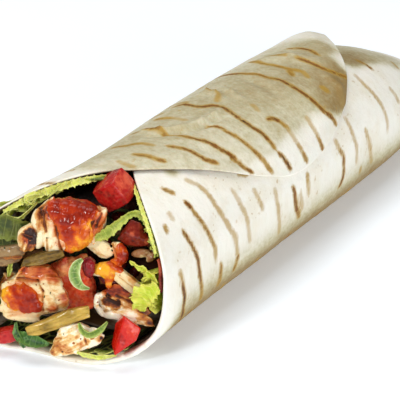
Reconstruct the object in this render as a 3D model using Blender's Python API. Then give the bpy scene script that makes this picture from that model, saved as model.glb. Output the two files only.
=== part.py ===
"""Chicken roll: a round flour tortilla wound round chicken, tomato, pepper, spring onion and lettuce.

The roll lies along +Y with its open mouth toward -Y and its tucked tail toward +Y. +X is the side that
the loose flap comes down on, and +Z is up. The origin is the centre of the base of the whole part's box,
and the flat strip that it rests on is at Z = 0. All lengths in this file are millimetres until a mesh is
made, and all angles are degrees. Stations along the roll are counted from the near edge of the mouth.
"""

import math
from dataclasses import dataclass

import bpy
import numpy as np
from mathutils import Matrix, Vector
from mathutils.bvhtree import BVHTree

MM = 0.001

# ---- the rolled sheet ----
SHEET_THICKNESS = 2.2
WINDING_PITCH = 2.7  # how much nearer the axis each full turn lies
WINDING_ZERO = 220.0  # angle at which the sheet's outer face is on the nominal oval
INNER_START = 555.0  # unwound angle at which the sheet starts, inside the roll
HALF_WIDTH = 33.2
HALF_HEIGHT = 28.6
WIDTH_TAPER = 0.009
HEIGHT_TAPER = 0.012
MOUTH_FLARE = 1.8
RESTING_SAG = 0.9  # how far the round underside is flattened
UPPER_ROUNDNESS = 2.15  # exponents of the oval: 2 is an ellipse, more is squarer
LOWER_ROUNDNESS = 3.35
FLAP_REACH = 11.0  # angle that the flap comes down to at its lowest point
FLAP_CLIMB = 135.0
FLAP_LIFT = 1.2
TIP_LIFT = 2.4
FAR_DENT = 2.8  # how far the far side of the top is pressed in behind the mouth

# ---- the tail, narrowed and tucked back into itself ----
TAIL_START = 140.0
TAIL_SPAN = 70.0
TAIL_WIDTH_LOSS = 6.5
TAIL_HEIGHT_LOSS = 10.3
TAIL_END = 205.0
LIP_RADIUS = 7.4
TUCK_LENGTH = 9.0

# ---- the filling ----
MOUTH_CENTRE = Vector((0.0, -9.0, 29.0))
MOUTH_SKEW = 0.48  # the mouth faces partly toward +X
MOUTH_LEAN = 0.20  # and leans back at the top
CORE_INSET = 5.9
CORE_SETBACK = 30.0
CORE_END = 188.0
LEAF_THICKNESS = 1.1
CLEARANCE = 0.35
DEEPEST = 22.0
LOWEST = 2.6


def positive_part(value, soft):
    """The value where it is above zero and zero below, with a rounded corner."""
    return 0.5 * (value + np.sqrt(value * value + soft * soft))


def ramp(low, high, value):
    """Zero at low, one at high, smooth between."""
    t = np.clip((value - low) / (high - low), 0.0, 1.0)
    return t * t * (3.0 - 2.0 * t)


def half_width(y):
    """Half the width of the nominal oval at station y."""
    t = positive_part((y - TAIL_START) / TAIL_SPAN, 0.1)
    flare = MOUTH_FLARE * np.exp(-(((y + 10.0) / 30.0) ** 2))
    return HALF_WIDTH - WIDTH_TAPER * y - TAIL_WIDTH_LOSS * t * t + flare


def half_height(y):
    """Half the height of the nominal oval at station y."""
    t = positive_part((y - TAIL_START) / TAIL_SPAN, 0.1)
    return HALF_HEIGHT - HEIGHT_TAPER * y - TAIL_HEIGHT_LOSS * t * t


def flap_edge(y):
    """Angle at which the sheet's outer edge lies, at station y."""
    toward_mouth = positive_part(88.0 - y, 10.0)
    toward_tail = positive_part(y - 100.0, 10.0)
    near = FLAP_REACH + 0.97 * toward_mouth + 0.004 * toward_mouth**2
    climb = 0.30 * toward_tail + 0.0135 * toward_tail**2
    return near + climb / (1.0 + (climb / FLAP_CLIMB) ** 4) ** 0.25


def mouth_rim(angle):
    """Station of the sheet's front edge at an unwound angle."""
    sway = -8.0 - 16.0 * np.cos(np.radians(angle - 195.0))
    return sway + 0.0059 * positive_part(angle - 370.0, 8.0) ** 2


def sheet_front(angle):
    """Station where the sheet starts on its first turn: its rim, or the flap's edge where that is further on."""
    toward_mouth = (np.sqrt(0.97**2 + 4.0 * 0.004 * (angle - FLAP_REACH)) - 0.97) / (2.0 * 0.004)
    rim = mouth_rim(angle)
    return rim + positive_part(88.0 - toward_mouth - rim, 3.0)


def section(angle, width, height):
    """Point and outward normal of a rounded oval at an angle, in X and Z, about its own centre."""
    c = np.cos(np.radians(angle))
    s = np.sin(np.radians(angle))
    power = 2.0 / np.where(s > 0.0, UPPER_ROUNDNESS, LOWER_ROUNDNESS)
    x = width * np.sign(c) * np.abs(c) ** power
    z = height * np.sign(s) * np.abs(s) ** power
    nx = c / width
    nz = s / height
    length = np.hypot(nx, nz)
    return x, z, nx / length, nz / length


def winding_level(angle, y):
    """Height of the sheet's outer face above the nominal oval at an unwound angle and a station."""
    dent = FAR_DENT * np.exp(-(((y - 34.0) / 42.0) ** 2) - ((angle - 145.0) / 36.0) ** 2)
    return WINDING_PITCH * (WINDING_ZERO - angle) / 360.0 - dent


def sheet_point(angle, run, depth):
    """Point of the wound sheet, from its unwound angle, its distance run toward the tail and round the lip
    there, and its depth below the outer face."""
    y = np.minimum(run, TAIL_END)
    turn = np.clip((run - TAIL_END) / LIP_RADIUS, 0.0, math.pi)
    tuck = np.maximum(run - TAIL_END - math.pi * LIP_RADIUS, 0.0)
    shrink = LIP_RADIUS * (1.0 - np.cos(turn))
    height = half_height(y)
    x, z, nx, nz = section(angle, half_width(y) - shrink, height - shrink)
    edge = angle - flap_edge(y)
    near_tail = ramp(128.0, 160.0, y) * (1.0 - ramp(175.0, 200.0, y))
    corner_lift = FLAP_LIFT * near_tail * np.exp(-((edge / 55.0) ** 2))
    mouth_lift = 0.8 * np.exp(-((edge / 14.0) ** 2)) * np.exp(-(((y - 35.0) / 40.0) ** 2))
    tip_lift = TIP_LIFT * np.exp(-(((y - 171.0) / 11.0) ** 2) - ((angle - 110.0) / 26.0) ** 2)
    level = winding_level(angle, y) + corner_lift + tip_lift + mouth_lift
    floor_lift = np.maximum(0.0, RESTING_SAG - height - z - nz * level * np.cos(turn))
    off = level - depth
    return np.stack(
        [
            x + nx * off * np.cos(turn),
            y + (LIP_RADIUS + off) * np.sin(turn) - tuck,
            height - RESTING_SAG + z + nz * off * np.cos(turn) + floor_lift,
        ],
        axis=-1,
    )


def wall_point(angle, y, inset):
    """Point inside the roll, a distance in from the outer face of the single sheet."""
    height = half_height(y)
    x, z, nx, nz = section(angle, half_width(y), height)
    face = winding_level(angle, y)
    floor_lift = np.maximum(0.0, RESTING_SAG - height - z - nz * face)
    level = face - inset
    return np.stack([x + nx * level, y, height - RESTING_SAG + z + nz * level + floor_lift], axis=-1)


def closed_slab(outer, inner):
    """Points and quads of a slab between two grids of the same shape, closed round all four edges."""
    rows, columns = outer.shape[:2]
    points = np.concatenate([outer.reshape(-1, 3), inner.reshape(-1, 3)])
    count = rows * columns
    quads = []
    for i in range(rows - 1):
        for j in range(columns - 1):
            a = i * columns + j
            b, c, d = a + 1, a + columns + 1, a + columns
            quads.append((a, d, c, b))
            quads.append((a + count, b + count, c + count, d + count))
    ring = [(0, j) for j in range(columns)]
    ring += [(i, columns - 1) for i in range(1, rows)]
    ring += [(rows - 1, j) for j in range(columns - 2, -1, -1)]
    ring += [(i, 0) for i in range(rows - 2, 0, -1)]
    ids = [i * columns + j for i, j in ring]
    for a, b in zip(ids, ids[1:] + ids[:1]):
        quads.append((a, b, b + count, a + count))
    return points, quads


def tortilla_mesh(columns=50, body_rows=17, lip_rows=6):
    """The wound sheet, from its front edge to the end that is tucked back into the tail."""
    across = np.linspace(0.0, 1.0, columns + 1)
    body = np.linspace(0.0, 1.0, body_rows)
    lip_end = TAIL_END + math.pi * LIP_RADIUS
    lip = np.append(np.linspace(TAIL_END, lip_end, lip_rows + 1)[1:], lip_end + TUCK_LENGTH)
    angles = np.zeros((body_rows + len(lip), columns + 1))
    runs = np.zeros_like(angles)
    for i in range(len(angles)):
        run = np.full(columns + 1, 0.0 if i < body_rows else lip[i - body_rows])
        for _ in range(40):
            edge = flap_edge(np.minimum(run, TAIL_END))
            angle = edge + across * (INNER_START - edge)
            if i < body_rows:
                front = mouth_rim(angle)
                run = front + body[i] * (TAIL_END - front)
        angles[i] = angle
        runs[i] = run
    return closed_slab(sheet_point(angles, runs, 0.0), sheet_point(angles, runs, SHEET_THICKNESS))


def core_mesh(columns=28, rows=9):
    """The body of mixed filling behind the pieces at the mouth."""
    points = []
    for i in range(rows):
        t = i / (rows - 1)
        round_end = 1.0 - 0.16 * (2.0 * t - 1.0) ** 8
        for j in range(columns):
            angle = 360.0 * j / columns
            across = math.cos(math.radians(angle))
            up = max(math.sin(math.radians(angle)), 0.0)
            front = MOUTH_CENTRE.y + CORE_SETBACK + MOUTH_SKEW * 26.0 * across + 12.0 * up**2
            y = front + t * (CORE_END - front)
            centre = Vector((0.0, y, float(half_height(y)) - RESTING_SAG))
            rim = Vector(wall_point(angle, y, CORE_INSET + winding_level(angle, y)))
            points.append(centre + (rim - centre) * round_end)
    quads = []
    for i in range(rows - 1):
        for j in range(columns):
            k = (j + 1) % columns
            this, other = i * columns, (i + 1) * columns
            quads.append((this + j, other + j, other + k, this + k))
    front_centre = len(points)
    points.append(Vector((0.0, MOUTH_CENTRE.y + CORE_SETBACK - 1.0, MOUTH_CENTRE.z)))
    points.append(Vector((0.0, CORE_END + 2.0, float(half_height(CORE_END)) - RESTING_SAG)))
    last = (rows - 1) * columns
    for j in range(columns):
        k = (j + 1) % columns
        quads.append((front_centre, j, k))
        quads.append((front_centre + 1, last + k, last + j))
    return np.array([tuple(p) for p in points]), quads


def leaf_mesh(leaf, columns=15, rows=4):
    """A lettuce leaf against the wall, its front edge ruffled and curled in over the mouth."""
    u = np.linspace(0.0, 1.0, columns + 1)[None, :]
    v = np.linspace(0.0, 1.0, rows + 1)[:, None]
    angle = leaf.first + (leaf.last - leaf.first) * (u + 0.0 * v)
    fade = np.sin(math.pi * np.clip(4.0 * u * (1.0 - u), 0.0, 1.0) / 2.0)
    wave = np.sin(2.0 * math.pi * leaf.ruffles * u) * fade
    free = (1.0 - v) ** 1.6
    swing = leaf.swing * free * np.cos(2.0 * math.pi * (leaf.ruffles * u + 0.2))
    front = sheet_front(angle)
    y = front + leaf.setback + (mouth_rim(angle) + leaf.length - front) * v + swing
    middle = leaf.inset + leaf.curl * free * np.sin(math.pi * u) ** 0.6 + leaf.depth * wave * free
    outer = wall_point(angle, y, middle - LEAF_THICKNESS / 2.0)
    inner = wall_point(angle, y, middle + LEAF_THICKNESS / 2.0)
    return closed_slab(outer, inner)


def lump(size, sharp, cuts, seed, chosen=(), fine=3):
    """A block with rounded edges and a few random slices off it, from its full lengths along its axes."""
    half = np.array(size) / 2.0
    random = np.random.default_rng(seed)
    planes = []
    for _ in range(cuts):
        normal = random.normal(size=3)
        planes.append((normal / np.linalg.norm(normal), random.uniform(0.95, 1.15)))
    if chosen:
        planes.append((np.array(chosen[:3]), chosen[3]))
    points, quads, index = [], [], {}
    for axis in range(3):
        for side in (-1.0, 1.0):
            ids = np.zeros((fine + 1, fine + 1), int)
            for i, j in np.ndindex(fine + 1, fine + 1):
                ray = np.zeros(3)
                ray[axis] = side
                ray[(axis + 1) % 3] = math.tan(math.pi / 4.0 * (2.0 * i / fine - 1.0))
                ray[(axis + 2) % 3] = math.tan(math.pi / 4.0 * (2.0 * j / fine - 1.0))
                key = tuple(round(c, 5) for c in ray)
                if key not in index:
                    index[key] = len(points)
                    level = np.sum(np.abs(ray) ** sharp)
                    for normal, distance in planes:
                        level += max(float(ray @ normal) / distance, 0.0) ** sharp
                    points.append(ray * level ** (-1.0 / sharp) * half)
                ids[i, j] = index[key]
            for i, j in np.ndindex(fine, fine):
                quad = [int(ids[i, j]), int(ids[i + 1, j]), int(ids[i + 1, j + 1]), int(ids[i, j + 1])]
                quads.append(quad if side > 0 else quad[::-1])
    return np.array(points), quads


def bar(size, arc, steps=9, around=8):
    """A rounded strip bent through an arc in its own plane, from its length, width and thickness."""
    length, width, thick = size
    bend = math.radians(arc)
    radius = length / bend
    points = []
    for i in range(steps + 1):
        t = i / steps
        taper = max(1.0 - (2.0 * abs(t - 0.5)) ** 5, 0.2) ** 0.5
        swing = bend * (t - 0.5)
        middle = np.array([radius * math.sin(swing), radius * (math.cos(swing) - 1.0), 0.0])
        side = np.array([math.sin(swing), math.cos(swing), 0.0])
        face = np.array([0.0, 0.0, 1.0])
        for j in range(around):
            a = 2.0 * math.pi * (j + 0.5) / around
            flat = (abs(math.cos(a)) ** 4 + abs(math.sin(a)) ** 4) ** -0.25
            reach = side * math.cos(a) * width + face * math.sin(a) * thick
            points.append(middle + reach * flat * taper / 2.0)
    quads = []
    for i in range(steps):
        for j in range(around):
            k = (j + 1) % around
            this, other = i * around, (i + 1) * around
            quads.append((this + j, this + k, other + k, other + j))
    quads.append(tuple(reversed(range(around))))
    quads.append(tuple(steps * around + j for j in range(around)))
    return np.array(points), quads


def mouth_frame():
    """Axes of the mouth: across toward the flap side, up, and into the roll."""
    across = Vector((1.0, MOUTH_SKEW, 0.0)).normalized()
    inward = Vector((-MOUTH_SKEW, 1.0, -MOUTH_LEAN)).normalized()
    return across, across.cross(inward), inward


def placed(points, where, roll, tilt, pitch):
    """Points of a piece turned in the mouth's own axes and set at (across, up, inward) from its centre."""
    across, up, inward = mouth_frame()
    axes = Matrix((across, up, -inward)).transposed()
    turn = Matrix.Rotation(math.radians(roll), 3, "Z") @ Matrix.Rotation(math.radians(tilt), 3, "X")
    turn = axes @ turn @ Matrix.Rotation(math.radians(pitch), 3, "Y")
    origin = MOUTH_CENTRE + across * where[0] + up * where[1] + inward * where[2]
    return points @ np.array(turn).T + np.array(origin)


def add_object(name, points, faces, color, roughness):
    """A named object in metres with a material of its own."""
    mesh = bpy.data.meshes.new(name)
    mesh.from_pydata([tuple(p * MM) for p in points], [], faces)
    mesh.validate()
    obj = bpy.data.objects.new(name, mesh)
    bpy.context.scene.collection.objects.link(obj)
    material = bpy.data.materials.new(name)
    material.use_nodes = True
    shader = material.node_tree.nodes["Principled BSDF"]
    shader.inputs["Base Color"].default_value = (*color, 1.0)
    shader.inputs["Roughness"].default_value = roughness
    mesh.materials.append(material)
    return obj


WHEAT = (0.83, 0.77, 0.66)
LETTUCE = (0.42, 0.55, 0.10)
DARK_LEAF = (0.10, 0.25, 0.05)
TOMATO = (0.60, 0.05, 0.03)
TOMATO_PULP = (0.62, 0.16, 0.08)
CHICKEN = (0.78, 0.60, 0.40)
SAUCED = (0.62, 0.19, 0.06)
PEPPER = (0.36, 0.34, 0.08)
ONION = (0.35, 0.50, 0.16)


@dataclass(frozen=True)
class Leaf:
    """A leaf or a strip of skin against the wall, from its first to its last angle."""

    first: float
    last: float
    setback: float
    length: float
    inset: float
    curl: float
    ruffles: int
    depth: float
    swing: float
    color: tuple = LETTUCE


@dataclass(frozen=True)
class Piece:
    """A piece of filling at the mouth.

    Its place is across, up and inward from the mouth's centre, and its turn is roll, tilt and pitch.
    A strip has an arc, and a lump has a number of slices off it, or one cut in a given direction and place.
    """

    size: tuple
    place: tuple
    turn: tuple
    color: tuple
    arc: float = 0.0
    slices: int = 0
    cut: tuple = ()


LEAVES = {
    "lettuce_upper": Leaf(96.0, 152.0, 0.5, 24.0, 4.6, 2.6, 3, 1.5, 1.2),
    "lettuce_far": Leaf(157.0, 224.0, 0.5, 24.0, 4.4, 1.6, 4, 1.4, 1.2),
    "lettuce_base": Leaf(240.0, 300.0, 2.0, 20.0, 3.1, 0.1, 5, 0.2, 0.6),
    "lettuce_frill": Leaf(332.0, 371.0, -1.0, 18.0, 4.8, 6.5, 3, 1.6, 1.4),
    "lettuce_rim": Leaf(384.0, 426.0, 0.5, 18.0, 4.2, 1.2, 3, 1.2, 0.8),
    "tomato_rind": Leaf(359.0, 381.0, 0.8, 9.0, 3.1, 0.0, 1, 0.1, 0.3, TOMATO),
}

# In the order that they are put in: each is placed clear of those before it.
PIECES = {
    "onion_bow": Piece((14.0, 3.2, 3.0), (15.5, -15.0, -6.0), (10.0, 0.0, 0.0), ONION, arc=-170.0),
    "onion_curl": Piece((17.0, 3.4, 3.2), (6.0, -0.4, 1.0), (-45.0, 0.0, 0.0), ONION, arc=-200.0),
    "pepper_long": Piece((23.0, 4.4, 4.5), (4.0, -13.2, -1.0), (28.0, 0.0, 0.0), PEPPER, arc=14.0),
    "chicken_seasoned": Piece((20.0, 11.5, 9.0), (8.0, -20.0, -1.0), (12.0, 10.0, 0.0), CHICKEN, slices=4),
    "chicken_large": Piece((28.0, 18.5, 11.0), (-10.5, -9.5, 6.5), (-8.0, 0.0, 8.0), CHICKEN, slices=5),
    "tomato_wedge": Piece((13.5, 9.5, 8.0), (24.5, -18.5, -1.5), (-62.0, 12.0, 0.0), TOMATO, slices=2),
    "tomato_cube": Piece((11.0, 10.5, 11.0), (16.5, 26.0, 21.5), (38.0, 10.0, -20.0), TOMATO),
    "tomato_corner": Piece((11.0, 6.5, 8.0), (-17.5, -21.0, 4.0), (10.0, 10.0, 15.0), TOMATO, slices=2),
    "lettuce_fold": Piece((12.0, 5.0, 3.5), (-7.0, -21.5, 0.5), (-20.0, 30.0, 0.0), DARK_LEAF, arc=30.0),
    "chicken_sauced": Piece(
        (25.5, 19.5, 11.0), (3.5, 16.0, 9.0), (-10.0, -8.0, 0.0), SAUCED, slices=5, cut=(0.8, -0.6, 0.0, 0.72)
    ),
    "lettuce_arch": Piece((27.0, 4.2, 3.4), (23.5, 19.0, 8.0), (-8.0, 0.0, 0.0), LETTUCE, arc=120.0),
    "chicken_strip": Piece((20.5, 7.5, 8.0), (18.5, -0.5, 6.0), (-30.0, 0.0, 0.0), SAUCED, slices=3),
    "chicken_nugget": Piece((7.5, 8.5, 8.0), (-9.5, 12.8, 4.0), (70.0, 0.0, 0.0), CHICKEN, slices=3),
    "chicken_curl": Piece((21.0, 10.0, 9.0), (22.0, -12.5, 6.5), (-12.0, 0.0, 0.0), CHICKEN, slices=4),
    "pepper_short": Piece((17.0, 3.8, 4.5), (-4.5, 5.2, 2.5), (16.0, 0.0, 0.0), PEPPER, arc=10.0),
    "chicken_shred": Piece((15.0, 5.5, 6.0), (-16.0, 5.0, 7.0), (14.0, 0.0, 0.0), CHICKEN, slices=3),
    "chicken_plank": Piece((15.0, 6.5, 7.0), (12.5, 9.0, 11.0), (-25.0, 0.0, 0.0), CHICKEN, slices=3),
    "tomato_slice": Piece((22.0, 14.0, 6.5), (4.0, -6.5, 17.0), (-75.0, 0.0, 10.0), TOMATO_PULP, slices=3),
    "tomato_dark": Piece((12.0, 10.5, 10.0), (24.0, 12.5, 16.0), (30.0, 0.0, 0.0), TOMATO, slices=2),
    "lettuce_dark": Piece((12.0, 6.0, 2.6), (-18.5, 13.5, 11.0), (-40.0, 20.0, 0.0), DARK_LEAF, arc=20.0),
    "tomato_bit": Piece((7.0, 6.0, 6.0), (13.0, -5.0, 12.0), (10.0, 0.0, 0.0), TOMATO, slices=2),
    "chicken_far": Piece((11.0, 7.0, 8.0), (-23.0, -10.0, 17.0), (60.0, 0.0, 0.0), CHICKEN, slices=4),
}


def piece_mesh(piece, seed):
    """Points and faces of a piece about its own centre."""
    if piece.arc:
        return bar(piece.size, piece.arc)
    sharp = 7.0 if piece.slices < 3 else 4.5
    return lump(piece.size, sharp, piece.slices, seed, piece.cut)


def nudges():
    """Small moves across, up and inward with a slight trim in size, the least change first."""
    moves = []
    for across, up, inward, cut in np.ndindex(7, 7, 16, 5):
        move = (across - 3, up - 3, inward - 1)
        trim = 1.0 - 0.07 * cut
        cost = 1.1 * math.hypot(move[0], move[1]) + 0.6 * abs(move[2]) + 30.0 * (1.0 - trim)
        moves.append((cost, move, trim))
    return sorted(moves)


def tree_of(points, faces):
    """Search tree of a mesh's faces."""
    return BVHTree.FromPolygons([tuple(p) for p in points], faces)


def settled(points, faces, piece, taken):
    """Points of a piece in its place, moved and trimmed the least that clears all that is already placed."""
    for _, move, trim in nudges():
        place = [start + shift for start, shift in zip(piece.place, move)]
        wide = placed(points * trim + np.sign(points) * CLEARANCE, place, *piece.turn)
        if place[2] > DEEPEST or wide[:, 2].min() < LOWEST:
            continue
        tree = tree_of(wide, faces)
        if not any(tree.overlap(other) for other in taken):
            return placed(points * trim, place, *piece.turn)
    raise ValueError("no room for a piece")


def main():
    """Builds the sheet, the core, the leaves and the pieces, and puts the origin under their middle."""
    for obj in list(bpy.data.objects):
        bpy.data.objects.remove(obj, do_unlink=True)
    solids = {"tortilla": (*tortilla_mesh(), WHEAT, 0.75), "filling_core": (*core_mesh(), CHICKEN, 0.6)}
    for name, leaf in LEAVES.items():
        solids[name] = (*leaf_mesh(leaf), leaf.color, 0.5)
    taken = [tree_of(points, faces) for points, faces, _, _ in solids.values()]
    for seed, (name, piece) in enumerate(PIECES.items()):
        points, faces = piece_mesh(piece, seed)
        points = settled(points, faces, piece, taken)
        solids[name] = (points, faces, piece.color, 0.4)
        taken.append(tree_of(points, faces))
    every = np.concatenate([solid[0] for solid in solids.values()])
    low, high = every.min(axis=0), every.max(axis=0)
    base = np.array([(low[0] + high[0]) / 2.0, (low[1] + high[1]) / 2.0, low[2]])
    for name, (points, faces, color, roughness) in solids.items():
        add_object(name, points - base, faces, color, roughness)


main()
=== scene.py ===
"""Chicken roll: a grilled flour tortilla wound round chicken, tomato, lettuce, pepper and spring onion.

Sizes in the classes are millimetres and degrees in the roll's own axes: the roll lies along +Y, its mouth
toward -Y, the loose flap comes down on the +X side, and stations count from the near edge of the mouth.
Meshes are metres in the part's frame.
"""

import logging
import math
from dataclasses import dataclass, fields, replace
from enum import Enum
from typing import ClassVar

import bmesh
import bpy
import numpy as np
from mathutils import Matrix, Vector


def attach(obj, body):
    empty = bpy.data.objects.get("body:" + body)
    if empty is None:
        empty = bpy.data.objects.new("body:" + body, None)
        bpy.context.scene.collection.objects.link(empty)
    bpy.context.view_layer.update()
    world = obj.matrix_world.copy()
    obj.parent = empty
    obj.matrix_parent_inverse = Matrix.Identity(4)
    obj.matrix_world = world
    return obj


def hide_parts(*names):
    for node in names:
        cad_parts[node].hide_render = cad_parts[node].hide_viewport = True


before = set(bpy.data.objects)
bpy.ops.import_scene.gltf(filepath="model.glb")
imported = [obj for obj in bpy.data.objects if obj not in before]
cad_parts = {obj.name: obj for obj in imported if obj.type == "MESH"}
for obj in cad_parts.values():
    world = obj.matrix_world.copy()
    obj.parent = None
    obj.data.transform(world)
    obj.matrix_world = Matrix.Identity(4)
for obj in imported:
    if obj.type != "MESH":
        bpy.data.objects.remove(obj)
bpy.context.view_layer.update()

LOG = logging.getLogger("chicken_roll")
MM = 0.001
SAME_PLACE = 1e-6  # metres within which a node's loose corners are one point
SHIFT = np.array([-0.8448, 94.3583, 0.0])  # the part's origin in the roll's own axes

ARRAY_RULES = {  # what each operation of calc does to numbers and arrays
    "COSINE": np.cos,
    "SINE": np.sin,
    "SQRT": np.sqrt,
    "EXPONENT": np.exp,
    "MINIMUM": np.minimum,
    "MAXIMUM": np.maximum,
    "SIGN": np.sign,
    "ABSOLUTE": np.abs,
    "POWER": np.power,
    "GREATER_THAN": lambda a, b: (a > b) * 1.0,
}


def calc(operation: str, *values: "Quantity") -> "Quantity":
    """One operation on numbers and arrays, or as a Math node where a value is a socket.

    Args:
        operation: a Math node's operation.
        values: numbers, arrays or terms.

    Returns:
        An array or number, or a term where any value is one.
    """
    for value in values:
        if isinstance(value, Term):
            return value.wiring.math(operation, *values)
    return ARRAY_RULES[operation](*values)


class Term:
    """A value socket that takes part in Python arithmetic and adds the Math nodes that it needs."""

    def __init__(self, wiring: "Wiring", socket: bpy.types.NodeSocket) -> None:
        """Wraps a socket of a tree that is being wired."""
        self.wiring = wiring
        self.socket = socket

    def __add__(self, other: "Quantity") -> "Term":
        """Sum, in either order."""
        return self.wiring.math("ADD", self, other)

    def __sub__(self, other: "Quantity") -> "Term":
        """Difference."""
        return self.wiring.math("SUBTRACT", self, other)

    def __rsub__(self, other: "Quantity") -> "Term":
        """Difference, the number first."""
        return self.wiring.math("SUBTRACT", other, self)

    def __mul__(self, other: "Quantity") -> "Term":
        """Product, in either order."""
        return self.wiring.math("MULTIPLY", self, other)

    def __truediv__(self, other: "Quantity") -> "Term":
        """Quotient."""
        return self.wiring.math("DIVIDE", self, other)

    def __rtruediv__(self, other: "Quantity") -> "Term":
        """Quotient, the number first."""
        return self.wiring.math("DIVIDE", other, self)

    def __neg__(self) -> "Term":
        """Opposite."""
        return self.wiring.math("MULTIPLY", self, -1.0)

    __radd__, __rmul__ = __add__, __mul__


Quantity = float | np.ndarray | Term


def positive_part(value: Quantity, soft: float) -> Quantity:
    """The value above zero and zero below, with a rounded corner."""
    return 0.5 * (value + calc("SQRT", value * value + soft * soft))


def ramp(low: float, high: float, value: Quantity) -> Quantity:
    """Zero at low, one at high, smooth between."""
    t = calc("MINIMUM", calc("MAXIMUM", (value - low) / (high - low), 0.0), 1.0)
    return t * t * (3.0 - 2.0 * t)


def bell(value: Quantity) -> Quantity:
    """One at zero, falling away on both sides."""
    return calc("EXPONENT", -(value * value))


def tone(red: int, green: int, blue: int) -> tuple[float, float, float, float]:
    """Scene colour of a screen colour in steps of 255, by the usual screen curve."""
    return (*(((c / 255 + 0.055) / 1.055) ** 2.4 if c > 10 else c / 3295 for c in (red, green, blue)), 1.0)


def unit(rows: np.ndarray) -> np.ndarray:
    """Rows made one long."""
    return rows / np.linalg.norm(rows, axis=-1)[..., None]


class Wiring:
    """Adds and joins the nodes of one tree."""

    def __init__(self, tree: bpy.types.NodeTree) -> None:
        """Starts with the tree as it is."""
        self.tree = tree

    def node(
        self, kind: str, inputs: dict | None = None, stops: tuple = (), output: int | str = 0,
        **settings: object,
    ) -> Term:
        """Adds a node.

        Args:
            kind: the node's type.
            inputs: a value or a term for each socket, by name or place.
            stops: (position, colour) of each stop of a ramp.
            output: the output that the term stands for.
            settings: the node's own settings, made before its sockets.

        Returns:
            The term of the output.
        """
        made = self.tree.nodes.new(kind)
        for name, value in settings.items():
            setattr(made, name, value)
        if stops:
            elements = made.color_ramp.elements
            while len(elements) < len(stops):
                elements.new(0.5)
            for element, (position, color) in zip(elements, stops):
                element.position = position
                element.color = color
        for key, value in (inputs or {}).items():
            if isinstance(value, Term):
                self.tree.links.new(value.socket, made.inputs[key])
            else:
                made.inputs[key].default_value = value
        return Term(self, made.outputs[output]) if len(made.outputs) else Term(self, None)

    def math(self, operation: str, *values: Quantity) -> Term:
        """Adds a Math node."""
        return self.node("ShaderNodeMath", dict(enumerate(values)), operation=operation)

    def vector_math(self, operation: str, first: Term, second: Term | tuple) -> Term:
        """Adds a Vector Math node."""
        return self.node("ShaderNodeVectorMath", {0: first, 1: second}, operation=operation)

    def noise(self, vector: Term, size: float, detail: float = 3.0, roughness: float = 0.6) -> Term:
        """Noise around a half, its blobs about size millimetres across."""
        inputs = {"Vector": vector, "Scale": 1.0 / (size * MM), "Detail": detail, "Roughness": roughness}
        return self.node("ShaderNodeTexNoise", inputs)

    def drawn(self, vector: Term, grain: Term | tuple, squeeze: float) -> Term:
        """The coordinates pressed together along a direction, which draws a texture out along it.

        Args:
            vector: the coordinates.
            grain: the direction, one long.
            squeeze: what is left of a length along it.

        Returns:
            The pressed coordinates.
        """
        along = self.node("ShaderNodeVectorMath", {0: vector, 1: grain}, output=1, operation="DOT_PRODUCT")
        drop = along * (squeeze - 1.0)
        back = self.node("ShaderNodeVectorMath", {0: grain, "Scale": drop}, operation="SCALE")
        return self.vector_math("ADD", vector, back)

    def part(self, vector: Term, axis: int) -> Term:
        """One axis of a vector."""
        return self.node("ShaderNodeSeparateXYZ", {0: vector}, output=axis)


class Paint(Wiring):
    """Wires one material round a Principled shader."""

    def __init__(self, name: str, **constants: float) -> None:
        """Makes the material and sets the shader's plain sockets.

        Args:
            name: the material's name.
            constants: value of each plain socket, by name with _ for a space.
        """
        self.material = bpy.data.materials.new(name)
        self.material.use_nodes = True
        super().__init__(self.material.node_tree)
        self.shader = self.tree.nodes["Principled BSDF"]
        for key, value in constants.items():
            self.shader.inputs[key.replace("_", " ")].default_value = value

    @classmethod
    def moist(cls, name: str, gloss: float, coat: float, blur: float) -> "Paint":
        """Starts a translucent, moist material from its specular level, its coat and the coat's roughness."""
        depth = {"Subsurface_Weight": 0.1, "Subsurface_Scale": 0.0015}
        return cls(name, **depth, Specular_IOR_Level=gloss, Coat_Weight=coat, Coat_Roughness=blur)

    def here(self) -> Term:
        """Object coordinates."""
        return self.node("ShaderNodeTexCoord", output="Object")

    def named(self, name: str, output: str = "Fac") -> Term:
        """An attribute of the mesh."""
        return self.node("ShaderNodeAttribute", output=output, attribute_name=name)

    def mix(self, mask: Quantity, below: Term | tuple, above: Term | tuple, blend: str = "MIX") -> Term:
        """Colour between two colours."""
        inputs = {0: mask, 6: below, 7: above}
        return self.node("ShaderNodeMix", inputs, output=2, data_type="RGBA", blend_type=blend)

    def grade(self, value: Term, *stops: tuple) -> Term:
        """Colour of a value on a ramp."""
        return self.node("ShaderNodeValToRGB", {0: value}, stops=stops)

    def dress(self, color: Term, roughness: Quantity, height: Term, relief: float) -> bpy.types.Material:
        """Joins the colour, roughness and bump to the shader.

        Args:
            color: base colour.
            roughness: roughness.
            height: bump height from zero to one.
            relief: millimetres that a height of one stands for.

        Returns:
            The finished material.
        """
        bump = self.node("ShaderNodeBump", {"Height": height, "Distance": relief * MM, "Strength": 1.0})
        for key, value in (("Base Color", color), ("Roughness", roughness), ("Normal", bump)):
            if isinstance(value, Term):
                self.tree.links.new(value.socket, self.shader.inputs[key])
            else:
                self.shader.inputs[key].default_value = value
        return self.material


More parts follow.
